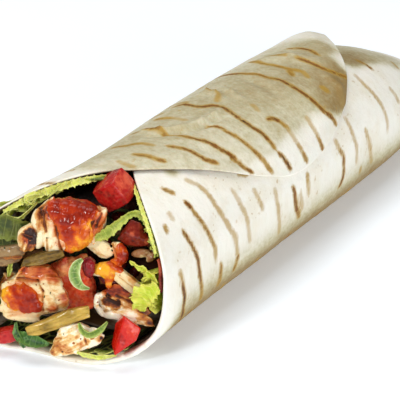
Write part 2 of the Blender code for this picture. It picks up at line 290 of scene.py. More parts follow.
@dataclass(frozen=True)
class GrilledDough:
    """Baked flour sheet with grill marks, toasted patches that are partly painted shade, small blisters, and
    painted shade on its inner face.
    """

    dough: tuple = tone(246, 242, 230)
    shade: tuple = tone(232, 222, 198)
    khaki: tuple = tone(193, 184, 143)
    olive: tuple = tone(146, 118, 64)
    gold: tuple = tone(178, 138, 28)
    brown: tuple = tone(128, 76, 10)
    char: tuple = tone(44, 22, 8)
    # painted shade with some juice stain, for the inner face deeper in the mouth
    juice: tuple = tone(92, 62, 26)

    def material(self) -> bpy.types.Material:
        """Wires the material from the sheet's own flat coordinates and scorch attributes.

        Returns:
            The material.
        """
        paint = Paint("grilled_dough", Subsurface_Weight=0.06, Subsurface_Scale=0.003, Specular_IOR_Level=0.4)
        flat = paint.named("flat", "Vector")
        mottle = paint.noise(flat, 14.0, 4.0)
        grit = paint.noise(flat, 1.6, 4.0, 0.65)
        blotch = paint.noise(flat, 5.0)
        streak = paint.noise(paint.vector_math("MULTIPLY", flat, (0.35, 1.0, 1.0)), 3.0)
        base = paint.mix(ramp(0.42, 0.66, mottle) * 0.5, self.dough, self.shade)
        base = paint.mix(ramp(0.56, 0.75, grit) * 0.3, base, self.shade)
        # toasting and painted shade, turned khaki and then olive where it is strong
        toast = paint.named("toast")
        toasted = toast + ((blotch - 0.5) * 0.36 + (grit - 0.5) * 0.4) * ramp(0.05, 0.4, toast)
        base = paint.mix(ramp(0.0, 0.66, toasted) * 0.9, base, self.khaki)
        base = paint.mix(ramp(0.42, 0.98, toasted) * 0.95, base, self.olive)
        specks = ramp(0.62, 0.70, paint.noise(flat, 2.3, 2.0, 0.5)) * ramp(0.5, 0.62, mottle)
        base = paint.mix(specks * 0.45, base, self.gold)
        edge = paint.named("scorch") + (grit - 0.5) * 1.9 + (streak - 0.5) * 0.9
        strength = paint.named("scorch_depth")
        patchy = ramp(0.30, 0.56, paint.noise(flat, 3.4) * 0.5 + strength * 0.42)
        halo = (1.0 - ramp(0.0, 1.4, edge)) * calc("MINIMUM", strength * 2.2, 1.0)
        core = (1.0 - ramp(-0.35, 0.5, edge)) * patchy
        base = paint.mix(halo * 0.88, base, self.gold)
        base = paint.mix(core * ramp(0.22, 0.74, strength), base, self.brown)
        base = paint.mix(core * ramp(0.55, 1.05, strength) * ramp(0.44, 0.6, grit), base, self.char)
        # painted shade with some juice stain: the inner face darkens deeper inside the mouth
        wet = paint.named("juice")
        base = paint.mix(wet * (0.75 + 0.25 * ramp(0.4, 0.6, blotch)), base, self.juice)
        height = paint.noise(flat, 2.6, 5.0) * 0.6 + mottle * 0.5 - core * 0.35
        return paint.dress(base, 0.48 + 0.25 * grit, height, 0.5)


@dataclass(frozen=True)
class CookedMeat:
    """Moist cooked chicken: fibres along its grain, browned, charred and stained in places, with painted shade
    in its hollows and creases.
    """

    name: str
    grain: tuple
    flesh: tuple = tone(240, 216, 166)
    tan: tuple = tone(222, 172, 104)
    gold: tuple = tone(198, 124, 48)
    brown: tuple = tone(130, 62, 20)
    char: tuple = tone(48, 18, 8)
    stain: tuple = tone(226, 128, 44)

    def material(self) -> bpy.types.Material:
        """Wires the material from Object coordinates and the painted attributes.

        Returns:
            The material.
        """
        paint = Paint.moist(self.name, 0.3, 0.25, 0.15)
        here = paint.here()
        fibre = paint.noise(paint.drawn(here, self.grain, 0.14), 1.3, 4.0)
        strand = paint.noise(paint.drawn(here, self.grain, 0.3), 2.6)
        cloud = paint.noise(here, 4.0)
        grit = paint.noise(here, 0.8)
        value = paint.named("sear") * 0.62 + (strand - 0.5) * 0.8 + (fibre - 0.5) * 0.6 + (cloud - 0.5) * 1.1
        # painted shade: hollows and creases turn browner
        value = value + paint.named("hollow") * 0.3
        char = paint.named("char") * ramp(0.30, 0.62, paint.named("char") + (grit - 0.5) * 0.8)
        value = value + char * 0.75 + 0.06
        base = paint.grade(
            value,
            (0.04, self.flesh), (0.22, self.tan), (0.42, self.gold), (0.62, self.brown), (0.86, self.char),
        )
        stain = ramp(0.25, 0.85, paint.named("stain") + (cloud - 0.5) * 0.8 + (strand - 0.5) * 0.8)
        base = paint.mix(stain * 0.9 * (1.0 - char), base, self.stain, "MULTIPLY")
        # painted shade: deep hollows are mixed toward brown
        base = paint.mix(ramp(0.45, 1.5, paint.named("hollow")) * 0.7, base, self.brown)
        return paint.dress(base, 0.34 + 0.28 * grit, strand * 0.6 + fibre * 0.6 + grit * 0.3, 0.7)


@dataclass(frozen=True)
class Sauce:
    """Glossy sauce, red where it is thick and orange to yellow where it thins or is creamy."""

    pale: tuple = tone(240, 168, 40)
    thin: tuple = tone(212, 96, 22)
    middle: tuple = tone(170, 46, 14)
    thick: tuple = tone(124, 26, 12)

    def material(self) -> bpy.types.Material:
        """Wires the material from the sauce's own thickness and warmth.

        Returns:
            The material.
        """
        paint = Paint("sauce", Specular_IOR_Level=0.12, Coat_Weight=0.28, Coat_Roughness=0.05)
        here = paint.here()
        swirl = paint.noise(here, 3.0)
        fine = paint.noise(here, 0.9)
        value = 0.26 + paint.named("body") * 0.56 - paint.named("warm") * 0.5
        value = value + (swirl - 0.5) * 0.6 + (fine - 0.5) * 0.25
        steps = (0.02, self.pale), (0.22, self.thin), (0.46, self.middle), (0.74, self.thick)
        base = paint.grade(value, *steps)
        return paint.dress(base, 0.14 + 0.12 * fine, swirl * 0.75 + fine * 0.25, 0.3)


@dataclass(frozen=True)
class WetTomato:
    """Cut tomato: wet red flesh with paler walls and fine cells."""

    name: str
    flesh: tuple
    pale: tuple
    dark: tuple
    size: float = 5.0

    def material(self) -> bpy.types.Material:
        """Wires the material from Object coordinates and its pale places.

        Returns:
            The material.
        """
        paint = Paint(self.name, Specular_IOR_Level=0.2, Coat_Weight=0.35, Coat_Roughness=0.06)
        here = paint.here()
        cloud = paint.noise(here, self.size)
        fine = paint.noise(here, 1.1)
        cells = paint.node("ShaderNodeTexVoronoi", {"Vector": here, "Scale": 900.0}, feature="SMOOTH_F1")
        value = paint.named("pale") * 0.55 + (cloud - 0.5) * 1.5 + (fine - 0.5) * 0.5 + 0.42
        base = paint.grade(value, (0.15, self.dark), (0.42, self.flesh), (0.62, self.flesh), (0.95, self.pale))
        base = paint.mix(ramp(0.1, 0.8, cells) * 0.2, base, self.pale)
        return paint.dress(base, 0.16 + 0.2 * cells, cloud * 0.5 + fine * 0.2 - cells * 0.3, 0.4)


@dataclass(frozen=True)
class CrispLeaf:
    """Lettuce: greener toward its base, paler and yellower along the frill, with branching veins."""

    name: str
    frill: tuple
    blade: tuple
    base: tuple
    vein: tuple
    steep: float = 90.0  # how fast it greens, in ramps to the metre

    def material(self) -> bpy.types.Material:
        """Wires the material from the leaf's own coordinates.

        Returns:
            The material.
        """
        paint = Paint.moist(self.name, 0.3, 0.15, 0.2)
        leaf = paint.named("leaf", "Vector")
        here = paint.here()
        inward = paint.part(leaf, 1)
        cloud = paint.noise(here, 3.0)
        fine = paint.noise(here, 0.8)
        veins = paint.node(
            "ShaderNodeTexVoronoi",
            {"Vector": paint.vector_math("MULTIPLY", leaf, (1.0, 0.4, 1.0)), "Scale": 420.0},
            feature="DISTANCE_TO_EDGE",
        )
        line = 1.0 - ramp(0.0, 0.10, veins)
        value = inward * self.steep + (cloud - 0.5) * 0.9
        base = paint.grade(value, (0.05, self.frill), (0.38, self.blade), (0.9, self.base))
        base = paint.mix(line * 0.45, base, self.vein)
        base = paint.mix(ramp(0.55, 0.7, fine) * 0.25, base, self.blade)
        return paint.dress(base, 0.36 + 0.15 * fine, cloud * 0.4 - line * 0.4 + fine * 0.2, 0.3)


@dataclass(frozen=True)
class MoistStrip:
    """A translucent strip of pickled pepper or spring onion, with lines along it."""

    name: str
    light: tuple
    middle: tuple
    dark: tuple
    grain: tuple

    def material(self) -> bpy.types.Material:
        """Wires the material from Object coordinates drawn out along the strip, and its pale places.

        Returns:
            The material.
        """
        paint = Paint.moist(self.name, 0.25, 0.14, 0.08)
        here = paint.here()
        lines = paint.noise(paint.drawn(here, tuple(self.grain), 0.12), 1.5, 2.0, 0.5)
        cloud = paint.noise(here, 3.0)
        fine = paint.noise(here, 0.7)
        value = lines * 0.7 + cloud * 0.3 + paint.named("pale") * 0.3 + (fine - 0.5) * 0.2
        base = paint.grade(value, (0.34, self.dark), (0.50, self.middle), (0.74, self.light))
        return paint.dress(base, 0.18 + 0.15 * cloud, lines * 0.7 + cloud * 0.3, 0.3)


@dataclass(frozen=True)
class DeepFilling:
    """The mixed filling in the depth of the roll: meat, tomato and leaf with juice, all in near-black colours
    that are painted shade.
    """

    # painted shade: near-black colours for the depth of the roll
    juice: tuple = tone(22, 8, 4)
    meat: tuple = tone(84, 42, 18)
    tomato: tuple = tone(78, 10, 6)
    leaf: tuple = tone(32, 38, 10)

    def material(self) -> bpy.types.Material:
        """Wires the material from Object coordinates.

        Returns:
            The material.
        """
        paint = Paint("deep_filling", Specular_IOR_Level=0.2, Coat_Weight=0.1, Coat_Roughness=0.2)
        here = paint.here()
        kind = paint.noise(here, 7.0, 2.0, 0.5)
        other = paint.noise(paint.vector_math("MULTIPLY", here, (1.3, 0.8, 1.1)), 9.0, 2.0, 0.5)
        fine = paint.noise(here, 1.2, 4.0)
        base = paint.mix(ramp(0.50, 0.62, kind), self.juice, self.meat)
        base = paint.mix(ramp(0.55, 0.62, other), base, self.tomato)
        base = paint.mix(1.0 - ramp(0.36, 0.43, other), base, self.leaf)
        base = paint.mix(ramp(0.5, 0.7, fine) * 0.5, base, self.juice)
        return paint.dress(base, 0.3 + 0.3 * fine, kind * 0.5 + fine * 0.5, 0.8)


@dataclass(frozen=True)
class Fleck:
    """Ground pepper, dried herb or spice."""

    name: str
    dark: tuple
    light: tuple

    def material(self) -> bpy.types.Material:
        """Wires the material from Object coordinates.

        Returns:
            The material.
        """
        paint = Paint(self.name)
        here = paint.here()
        value = paint.noise(here, 1.2, 2.0, 0.5)
        base = paint.mix(ramp(0.42, 0.6, value), self.dark, self.light)
        return paint.dress(base, 0.55 + 0.2 * value, paint.noise(here, 0.3, 2.0, 0.5), 0.08)


Finish = CookedMeat | WetTomato | CrispLeaf | MoistStrip | DeepFilling | Fleck


class Socket(Enum):
    """Kinds of named input that a tree of geometry nodes takes."""

    NUMBER = "NodeSocketFloat"
    COUNT = "NodeSocketInt"
    MATERIAL = "NodeSocketMaterial"
    OBJECT = "NodeSocketObject"
    VECTOR = "NodeSocketVector"


class ShapeTree(Wiring):
    """A tree of geometry nodes with named inputs, from one geometry to another."""

    def __init__(self, name: str, **inputs: Socket) -> None:
        """Makes the tree and its named inputs.

        Args:
            name: the tree's name.
            inputs: the kind of each named input.
        """
        super().__init__(bpy.data.node_groups.new(name, "GeometryNodeTree"))
        face = self.tree.interface
        face.new_socket("Geometry", in_out="INPUT", socket_type="NodeSocketGeometry")
        for key, kind in inputs.items():
            face.new_socket(key, in_out="INPUT", socket_type=kind.value)
        face.new_socket("Geometry", in_out="OUTPUT", socket_type="NodeSocketGeometry")
        self.entry = self.tree.nodes.new("NodeGroupInput")

    def given(self, name: str = "Geometry") -> Term:
        """A named input."""
        return Term(self, self.entry.outputs[name])

    def close(self, geometry: Term) -> None:
        """Realises, dresses and gives out the geometry.

        Args:
            geometry: the end of the tree.
        """
        real = self.node("GeometryNodeRealizeInstances", {0: geometry})
        dressed = self.node("GeometryNodeSetMaterial", {"Geometry": real, "Material": self.given("material")})
        self.node("NodeGroupOutput", {0: dressed})

    def run(self, piece: bpy.types.Object, **values: object) -> bpy.types.Object:
        """Runs the tree on a piece and keeps the result as its plain mesh.

        Args:
            piece: the object to change.
            values: the value of each named input.

        Returns:
            The same object.
        """
        modifier = piece.modifiers.new(self.tree.name, "NODES")
        modifier.node_group = self.tree
        for item in self.tree.interface.items_tree:
            if item.item_type == "SOCKET" and item.in_out == "INPUT" and item.name in values:
                value = values[item.name]
                modifier[item.identifier] = float(value) if item.socket_type == Socket.NUMBER.value else value
        return plain(piece)


def plain(piece: bpy.types.Object) -> bpy.types.Object:
    """Applies every modifier of a piece.

    Args:
        piece: the object, with its modifiers.

    Returns:
        The same object, with the result as its mesh.
    """
    bpy.context.view_layer.update()
    graph = bpy.context.evaluated_depsgraph_get()
    mesh = bpy.data.meshes.new_from_object(piece.evaluated_get(graph), depsgraph=graph)
    piece.modifiers.clear()
    old = piece.data
    piece.data = mesh
    bpy.data.meshes.remove(old)
    mesh.name = piece.name
    mesh.shade_smooth()
    return piece


def piece_of(name: str, points: np.ndarray, faces: list) -> bpy.types.Object:
    """An object from points and faces, with its faces turned outward.

    Args:
        name: the object's name.
        points: points in the roll's own axes, in millimetres.
        faces: the points of each face, all wound the same way.

    Returns:
        The linked object.
    """
    mesh = bpy.data.meshes.new(name)
    mesh.from_pydata(((points - SHIFT) * MM).tolist(), [], faces)
    mesh.validate()
    own = points - points.mean(axis=0)
    corners = [(f[0], f[i], f[i + 1]) for f in faces for i in range(1, len(f) - 1)]
    a, b, c = (own[list(column)] for column in zip(*corners))
    if np.einsum("ij,ij->", a, np.cross(b, c)) < 0.0:
        mesh.flip_normals()
    mesh.shade_smooth()
    piece = bpy.data.objects.new(name, mesh)
    bpy.context.scene.collection.objects.link(piece)
    return piece


def node_mesh(node: str) -> tuple[np.ndarray, list]:
    """Points and faces of a copy of a node's mesh as one joined surface.

    Args:
        node: the node's name.

    Returns:
        Points in the roll's own axes, in millimetres, and faces.
    """
    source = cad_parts[node].data
    points = np.array([v.co for v in source.vertices], float)
    _, first, index = np.unique(np.round(points / SAME_PLACE), axis=0, return_index=True, return_inverse=True)
    index = index.reshape(-1)
    faces = [[int(index[i]) for i in f.vertices] for f in source.polygons]
    return points[first] / MM + SHIFT, [f for f in faces if len(set(f)) == 3]


def read_vectors(rows: bpy.types.bpy_prop_collection, name: str) -> np.ndarray:
    """A vector of each row of some mesh data.

    Args:
        rows: the mesh data.
        name: the vector's name in it.

    Returns:
        The vectors, one a row.
    """
    flat = np.empty(len(rows) * 3, np.float32)
    rows.foreach_get(name, flat)
    return flat.reshape(-1, 3).astype(float)


def points_of(mesh: bpy.types.Mesh) -> np.ndarray:
    """A mesh's points in the roll's own axes, in millimetres."""
    return read_vectors(mesh.vertices, "co") / MM + SHIFT


def normals_of(mesh: bpy.types.Mesh) -> np.ndarray:
    """A mesh's point normals."""
    return read_vectors(mesh.vertex_normals, "vector")


def keep(mesh: bpy.types.Mesh, name: str, values: np.ndarray) -> None:
    """Keeps a value or a vector at each point of a mesh."""
    kind, key = ("FLOAT_VECTOR", "vector") if values.ndim == 2 else ("FLOAT", "value")
    mesh.attributes.new(name, kind, "POINT").data.foreach_set(key, values.astype(np.float32).ravel())


def settle(piece: bpy.types.Object, material: bpy.types.Material, slot: str, *nodes: str) -> None:
    """Dresses a finished piece and joins it to the body.

    Args:
        piece: the finished piece.
        material: its material.
        slot: the record's slot that the finish comes from; not used.
        nodes: the nodes that it stands for.
    """
    piece.data.materials.clear()
    piece.data.materials.append(material)
    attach(piece, "root")
    if nodes:
        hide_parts(*nodes)
    LOG.info("%s: %d faces", piece.name, len(piece.data.polygons))


def away_from(points: np.ndarray, start: tuple, end: tuple) -> tuple[np.ndarray, np.ndarray]:
    """Distance of points from a straight piece of line.

    Args:
        points: the points.
        start: one end of the line.
        end: the other.

    Returns:
        The distances, and how far along the line the nearest place is, from zero to one.
    """
    span = np.subtract(end, start)
    t = np.clip((points - start) @ span / (span @ span), 0.0, 1.0)
    return np.linalg.norm(points - start - t[:, None] * span, axis=1), t


def slab_faces(rows: int, columns: int) -> list[tuple[int, ...]]:
    """Faces of a slab between two grids, closed round all four edges.

    Args:
        rows: rows of each grid.
        columns: columns of each grid.

    Returns:
        The faces, for the outer grid's points and then the inner one's.
    """
    count = rows * columns
    faces = []
    for i in range(rows - 1):
        for j in range(columns - 1):
            a = i * columns + j
            b, c, d = a + 1, a + columns + 1, a + columns
            faces.append((a, d, c, b))
            faces.append((a + count, b + count, c + count, d + count))
    ring = [(0, j) for j in range(columns)]
    ring += [(i, columns - 1) for i in range(1, rows)]
    ring += [(rows - 1, j) for j in range(columns - 2, -1, -1)]
    ring += [(i, 0) for i in range(rows - 2, 0, -1)]
    ids = [i * columns + j for i, j in ring]
    faces += [(a, b, b + count, a + count) for a, b in zip(ids, ids[1:] + ids[:1])]
    return faces


def strokes(*chains: tuple) -> tuple[tuple, ...]:
    """Rows of a start, an end and that end's other numbers, from chains of a start and the stops after it."""
    return tuple((*a[:2], *b) for chain in chains for a, b in zip(chain, chain[1:]))


# grill marks: angle and station of each start, then of each stop, with the half width and strength up to it
MARKS = strokes(
    ((117.2, 56.3), (111.4, 57.5, 0.43, 0.93), (102.8, 57.1, 0.43, 0.93), (97.1, 57.8, 0.43, 0.75),
     (90.3, 56.9, 0.41, 0.5), (87.2, 58.5, 0.41, 0.43), (81.8, 59, 0.43, 0.53), (77.2, 59.9, 0.45, 0.7),
     (73.5, 61, 0.47, 0.8), (67.7, 62.4, 0.52, 0.88), (60.7, 63.1, 0.6, 0.97), (55.4, 64.2, 0.62, 0.93),
     (50.2, 65.7, 0.58, 0.72)),
    ((113.9, 79.9), (108.7, 82.3, 0.43, 0.7), (99, 81.9, 0.56, 0.9), (94.6, 82.9, 0.69, 0.85),
     (91.6, 86.2, 0.62, 0.7), (86.5, 86.7, 0.54, 0.8), (79.6, 85.4, 0.56, 0.95), (70.6, 83.9, 0.56, 1),
     (61, 83.9, 0.58, 1), (53.7, 85.1, 0.6, 1), (47.1, 85.1, 0.58, 0.85), (40.3, 85, 0.52, 0.6)),
    ((80, 71.8), (73.4, 73.5, 0.43, 0.7), (67.3, 73.4, 0.41, 0.57), (58.5, 74.3, 0.45, 0.58),
     (49.3, 74.8, 0.49, 0.66), (39.5, 76, 0.49, 0.61), (27.4, 77.8, 0.47, 0.51)),
    ((81.8, 49.3), (76.3, 51.1, 0.45, 0.62), (70.7, 52.5, 0.47, 0.62), (63.4, 52.8, 0.6, 0.68),
     (58.7, 53.7, 0.65, 0.65), (53.7, 56.4, 0.56, 0.6)),
    ((111.5, 41.6), (102.6, 42.1, 0.41, 0.57), (98.8, 44.9, 0.43, 0.53), (94.8, 46.2, 0.43, 0.45),
     (89.4, 46.3, 0.47, 0.38)),
    ((90, 37), (83.8, 38.6, 0.56, 0.55), (79.3, 38.9, 0.56, 0.55), (74.7, 40.3, 0.45, 0.57)),
    ((114.5, 69), (108.3, 69.3, 0.39, 0.57), (102, 69.9, 0.39, 0.42), (93, 70, 0.39, 0.28)),
    ((91.8, 30.1), (87.1, 29.4, 0.34, 0.35), (83.7, 30.5, 0.34, 0.35)),
    ((50.5, 64.1), (46.2, 66.5, 0.43, 0.65)), ((45.2, 66), (40.5, 66.8, 0.54, 0.62), (35, 68.6, 0.58, 0.68)),
    ((35.9, 85.3), (29.4, 86.5, 0.54, 0.95), (21.2, 88.3, 0.62, 1)),
    ((115.1, 117.8), (102.8, 117.8, 0.52, 0.6), (94.5, 119, 0.47, 0.55), (88.7, 118.2, 0.45, 0.62),
     (80, 119.8, 0.52, 0.82), (72.6, 119.2, 0.56, 0.85), (64.5, 119.3, 0.58, 0.8), (56.1, 119.6, 0.62, 0.8),
     (48.8, 120, 0.65, 0.75), (41.8, 120.4, 0.71, 0.72), (34.9, 123.1, 0.75, 0.72),
     (29.8, 123.4, 0.69, 0.62)),
    ((115.6, 131.9), (100.3, 129.3, 0.41, 0.53), (91.6, 129.7, 0.43, 0.53), (84.1, 130.1, 0.47, 0.5),
     (77.2, 132, 0.47, 0.47), (70.5, 130.1, 0.43, 0.38)),
    ((106.3, 136.7), (95.2, 138.4, 0.41, 0.5)),
    ((102, 147.1), (95.2, 149.2, 0.43, 0.65), (88.8, 149.3, 0.47, 0.7), (81.3, 147.2, 0.45, 0.55)),
    ((88, 139), (79.1, 139.4, 0.45, 0.68), (71.9, 139.8, 0.52, 0.68), (64.9, 140.8, 0.52, 0.6),
     (59.9, 142.6, 0.56, 0.65), (55.2, 145.3, 0.6, 0.7)),
    ((59.7, 93.5), (58.5, 95.9, 0.6, 0.65), (54, 97.4, 0.69, 0.75), (47.8, 97.9, 0.58, 0.55),
     (43.7, 97.3, 0.47, 0.33), (34.6, 96.9, 0.43, 0.28), (26.2, 97.5, 0.49, 0.4), (19, 98.9, 0.6, 0.53)),
    ((45.9, 110.4), (40.2, 109.8, 0.45, 0.3), (29.6, 109.4, 0.39, 0.33), (24.5, 110, 0.54, 0.5),
     (19.4, 110.5, 0.62, 0.6)),
    ((74.5, 95.9), (69.2, 94.5, 0.52, 0.3)), ((83.4, 129.4), (78.9, 126.5, 0.54, 0.5)),
    ((58.2, 129.7), (53.3, 130.2, 0.65, 0.38)),
    ((107.8, 96.9), (100.6, 96.6, 0.3, 0.42), (95.9, 94.3, 0.3, 0.38), (92.7, 89.9, 0.32, 0.4)),
    ((420, 30.2), (416.2, 31.2, 0.47, 0.55), (414.2, 31.7, 0.54, 0.6)),
    ((403.9, 33.4), (398.5, 33.6, 0.6, 0.9)),
    ((396.9, 33.5), (391.3, 34.1, 0.39, 0.5), (384, 35.1, 0.41, 0.62), (373.6, 37.1, 0.43, 0.62),
     (362.7, 39.2, 0.43, 0.55), (358.7, 40.3, 0.41, 0.4)),
    ((388.5, 24.3), (378.8, 25.5, 0.43, 0.7), (370.5, 27.1, 0.45, 0.82), (358.7, 29.5, 0.49, 0.88),
     (353.9, 30.4, 0.49, 0.76), (346.5, 31.1, 0.49, 0.58), (337.5, 31.4, 0.49, 0.53)),
    ((364.6, 16.7), (360.6, 17.7, 0.49, 0.4)),
    ((358.3, 18.3), (353.3, 19.7, 0.54, 0.95), (344.1, 19.3, 0.58, 1), (326, 20.9, 0.56, 0.95)),
    ((353.6, 43.2), (346.6, 43.2, 0.47, 0.6), (337.4, 42.7, 0.52, 0.51)),
    ((416.3, 41.5), (409.1, 43.7, 0.47, 0.3), (399.8, 44.8, 0.47, 0.37), (389.4, 45.1, 0.47, 0.38),
     (378.3, 46.8, 0.47, 0.38), (365.3, 50, 0.47, 0.37), (358.3, 52.9, 0.47, 0.36),
     (352.3, 53.6, 0.45, 0.35)),
    ((351, 53.7), (346.6, 52.7, 0.43, 0.77), (341.9, 51.9, 0.45, 0.72)),
    ((392.4, 56.4), (380.6, 57.7, 0.41, 0.27), (370.2, 59.5, 0.43, 0.33), (360.7, 60.4, 0.43, 0.33),
     (356, 61.1, 0.41, 0.29)),
    ((382.8, 67.2), (374.4, 68.4, 0.39, 0.3), (365.4, 69.7, 0.39, 0.35)),
    ((372.9, 78.5), (362.7, 78.6, 0.41, 0.28), (357.8, 79.9, 0.43, 0.35), (346.9, 80.7, 0.43, 0.3)),
    ((366.3, 89.3), (358.8, 90.7, 0.54, 0.75), (353.7, 92.3, 0.65, 0.71), (346.8, 94.5, 0.58, 0.64)),
    ((358.6, 94.4), (352.6, 95.8, 0.65, 0.31)),
    ((368.3, 99.3), (361.3, 99.5, 0.47, 0.44), (358.9, 100.4, 0.45, 0.33)),
    ((398.8, 17.8), (394.7, 17, 0.32, 0.53)), ((404.4, 23.3), (399.4, 23, 0.34, 0.28)),
    ((399, 64), (396.1, 67.1, 0.43, 0.4)),
    ((428.3, 166.6), (421.7, 167.7, 0.45, 0.7), (414.6, 168.1, 0.54, 0.82)),
    ((415.1, 154.4), (407, 154.4, 0.39, 0.27), (397.7, 155.4, 0.41, 0.36), (388.7, 156.7, 0.43, 0.38),
     (378.3, 158, 0.43, 0.36), (366.5, 159.3, 0.41, 0.34), (360.4, 160.1, 0.39, 0.3)),
    ((389.1, 132.1), (381, 133.1, 0.39, 0.33), (369.9, 133.8, 0.41, 0.36), (359.5, 135.8, 0.41, 0.34),
     (355.4, 136, 0.39, 0.29)),
    ((369.2, 143.2), (361, 145.1, 0.41, 0.37), (356, 147.2, 0.43, 0.38), (343.9, 149.6, 0.41, 0.31)),
    ((378.5, 121.3), (368.4, 123.2, 0.39, 0.35), (361.1, 125.8, 0.49, 0.58), (358.2, 126, 0.62, 0.78),
     (354, 126.3, 0.62, 0.75), (347.7, 124.8, 0.56, 0.77), (346.2, 123.4, 0.45, 0.72)),
    ((391.7, 169.4), (382.5, 171, 0.39, 0.3), (376, 171.8, 0.39, 0.32)),
    ((420, 190.2), (410.7, 188.9, 0.43, 0.35)), ((348.3, 139.9), (343.7, 139.8, 0.49, 0.4)),
)

TOAST = (  # angle, station, radius and strength of each patch of toasting and painted shade
    (111.9, 34.5, 14.6, 0.6), (104, 40.3, 14.6, 0.62), (102.2, 53.6, 15.6, 0.62), (99.7, 63.6, 14.6, 0.62),
    (99.7, 76, 15.6, 0.64), (99.1, 94.9, 15.6, 0.64), (82.7, 44.8, 12.6, 0.56), (77.3, 58.1, 12.6, 0.52),
    (102.8, 111, 13.6, 0.7), (84.3, 106.2, 12.6, 0.72), (58.9, 59.1, 7.8, 0.38), (58, 73.9, 7.8, 0.42),
    (57.4, 89.8, 7.8, 0.52), (65.6, 130.8, 7.8, 0.7), (47.1, 127.5, 5.8, 0.9), (45.9, 137.7, 5.2, 1),
    (100.4, 132.9, 8.7, 0.66), (91.6, 145.4, 7.8, 0.78), (87.9, 155.5, 6.9, 0.75), (63.7, 143.5, 5.8, 0.9),
    (52.2, 134.4, 6.9, 1), (56, 142.8, 4, 0.9), (53.9, 128.7, 6.3, 0.8), (44.5, 129.7, 4, 0.9),
    (77.1, 140.9, 6.8, 0.7), (88, 141.1, 6.9, 0.5), (75.5, 129, 8.7, 0.75), (73.8, 113.5, 11.7, 0.7),
    (72, 98.4, 11.7, 0.65), (86.4, 98.3, 9.7, 0.6), (74.6, 82.2, 8.7, 0.5), (69.4, 63.8, 6.8, 0.35),
    (73.4, 48.7, 7.8, 0.42), (85.4, 41.3, 7.8, 0.35), (83.6, 70, 6.8, 0.4), (98.2, 120.4, 5.8, 0.5),
    (55.9, 102.5, 7.8, 0.45), (102.5, 104.2, 5.8, 0.35), (69.5, 41, 5.2, 0.5), (81.3, 34.7, 5.8, 0.45),
    (97.2, 29.2, 6.9, 0.3), (431.8, 161.7, 5.2, 0.8), (431.7, 176.3, 5.2, 0.75), (427.4, 190, 4.6, 0.6),
    (413.9, 187.4, 3.5, 0.4), (427.3, 40.1, 2.9, 0.7), (60, 81.9, 6.8, 0.6), (52.3, 69.9, 5.2, 0.3),
    (45.8, 81.8, 5.2, 0.3), (61.2, 123.7, 6.9, 0.6), (433, 165.1, 5.8, 0.95), (431, 173.1, 5, 0.8),
    (427.2, 181.8, 5.8, 0.6), (424.8, 194.3, 5.8, 0.5), (61.7, 84.5, 7.2, 0.42), (63.5, 105, 6.5, 0.4),
    (54.2, 66.3, 7.2, 0.36), (62.7, 91.9, 5.8, 0.4), (61.4, 51.4, 7.2, 0.36), (59, 114.9, 5.8, 0.45),
    (446, 168, 9, 0.7), (448, 184, 10, 0.45), (436, 200, 9, 0.35), (462, 176, 9, 0.4), (460, 195, 9, 0.3),
    (128, 62, 16, 0.34), (132, 96, 17, 0.3), (126, 128, 15, 0.34), (112, 148, 12, 0.4), (186, 72, 15, 0.24),
    (205, 150, 16, 0.28), (168, 168, 12, 0.26), (222, 110, 14, 0.26), (98, 176, 13, 0.34),
)

# creases: angle and station of each start, then of each stop, with the half width and height up to it
FOLDS = strokes(
    ((107.8, 56.2), (96.4, 58.4, 1, 0.7), (88.9, 63.9, 1, 0.7), (85, 72.5, 1, 0.7), (84.1, 79.3, 1, 0.7),
     (85.7, 84, 1, 0.7)),
    ((97.5, 52.8), (86.5, 61.5, 1.1, -0.6), (81.1, 70.8, 1.1, -0.6), (80.6, 79.9, 1.1, -0.6)),
    ((107.2, 91.9), (107.8, 96.9, 0.9, 0.6), (99.7, 95.8, 0.9, 0.6), (91.9, 91.7, 0.9, 0.6)),
    ((101.9, 101.7), (93.3, 99.7, 0.8, 0.5), (85, 96.9, 0.8, 0.5)),
    ((97.5, 113.7), (85.4, 112, 2, -0.4), (73.1, 110, 2, -0.4)),
    ((65, 57.2), (46.6, 66.1, 2.5, -0.4), (33.8, 73.7, 2.5, -0.4)),
    ((107.1, 133.2), (93.3, 140, 2.2, 0.5), (79, 142.8, 2.2, 0.5)),
    ((64.5, 137), (50.5, 137.3, 1.6, 0.5), (39, 133.7, 1.6, 0.5)), ((112, 74), (108, 92, 5, 0.5)),
    ((60, 40), (84, 30, 5, -0.35)), ((40, 108), (70, 104, 5, -0.3)), ((360, 30), (372, 60, 7, -0.35)),
    ((345, 70), (365, 110, 7, 0.3)), ((340, 150), (390, 140, 6, -0.4)), ((180, 40), (190, 120, 8, 0.4)),
    ((230, 60), (215, 150, 8, -0.4)), ((150, 20), (165, 70, 6, -0.35)),
)


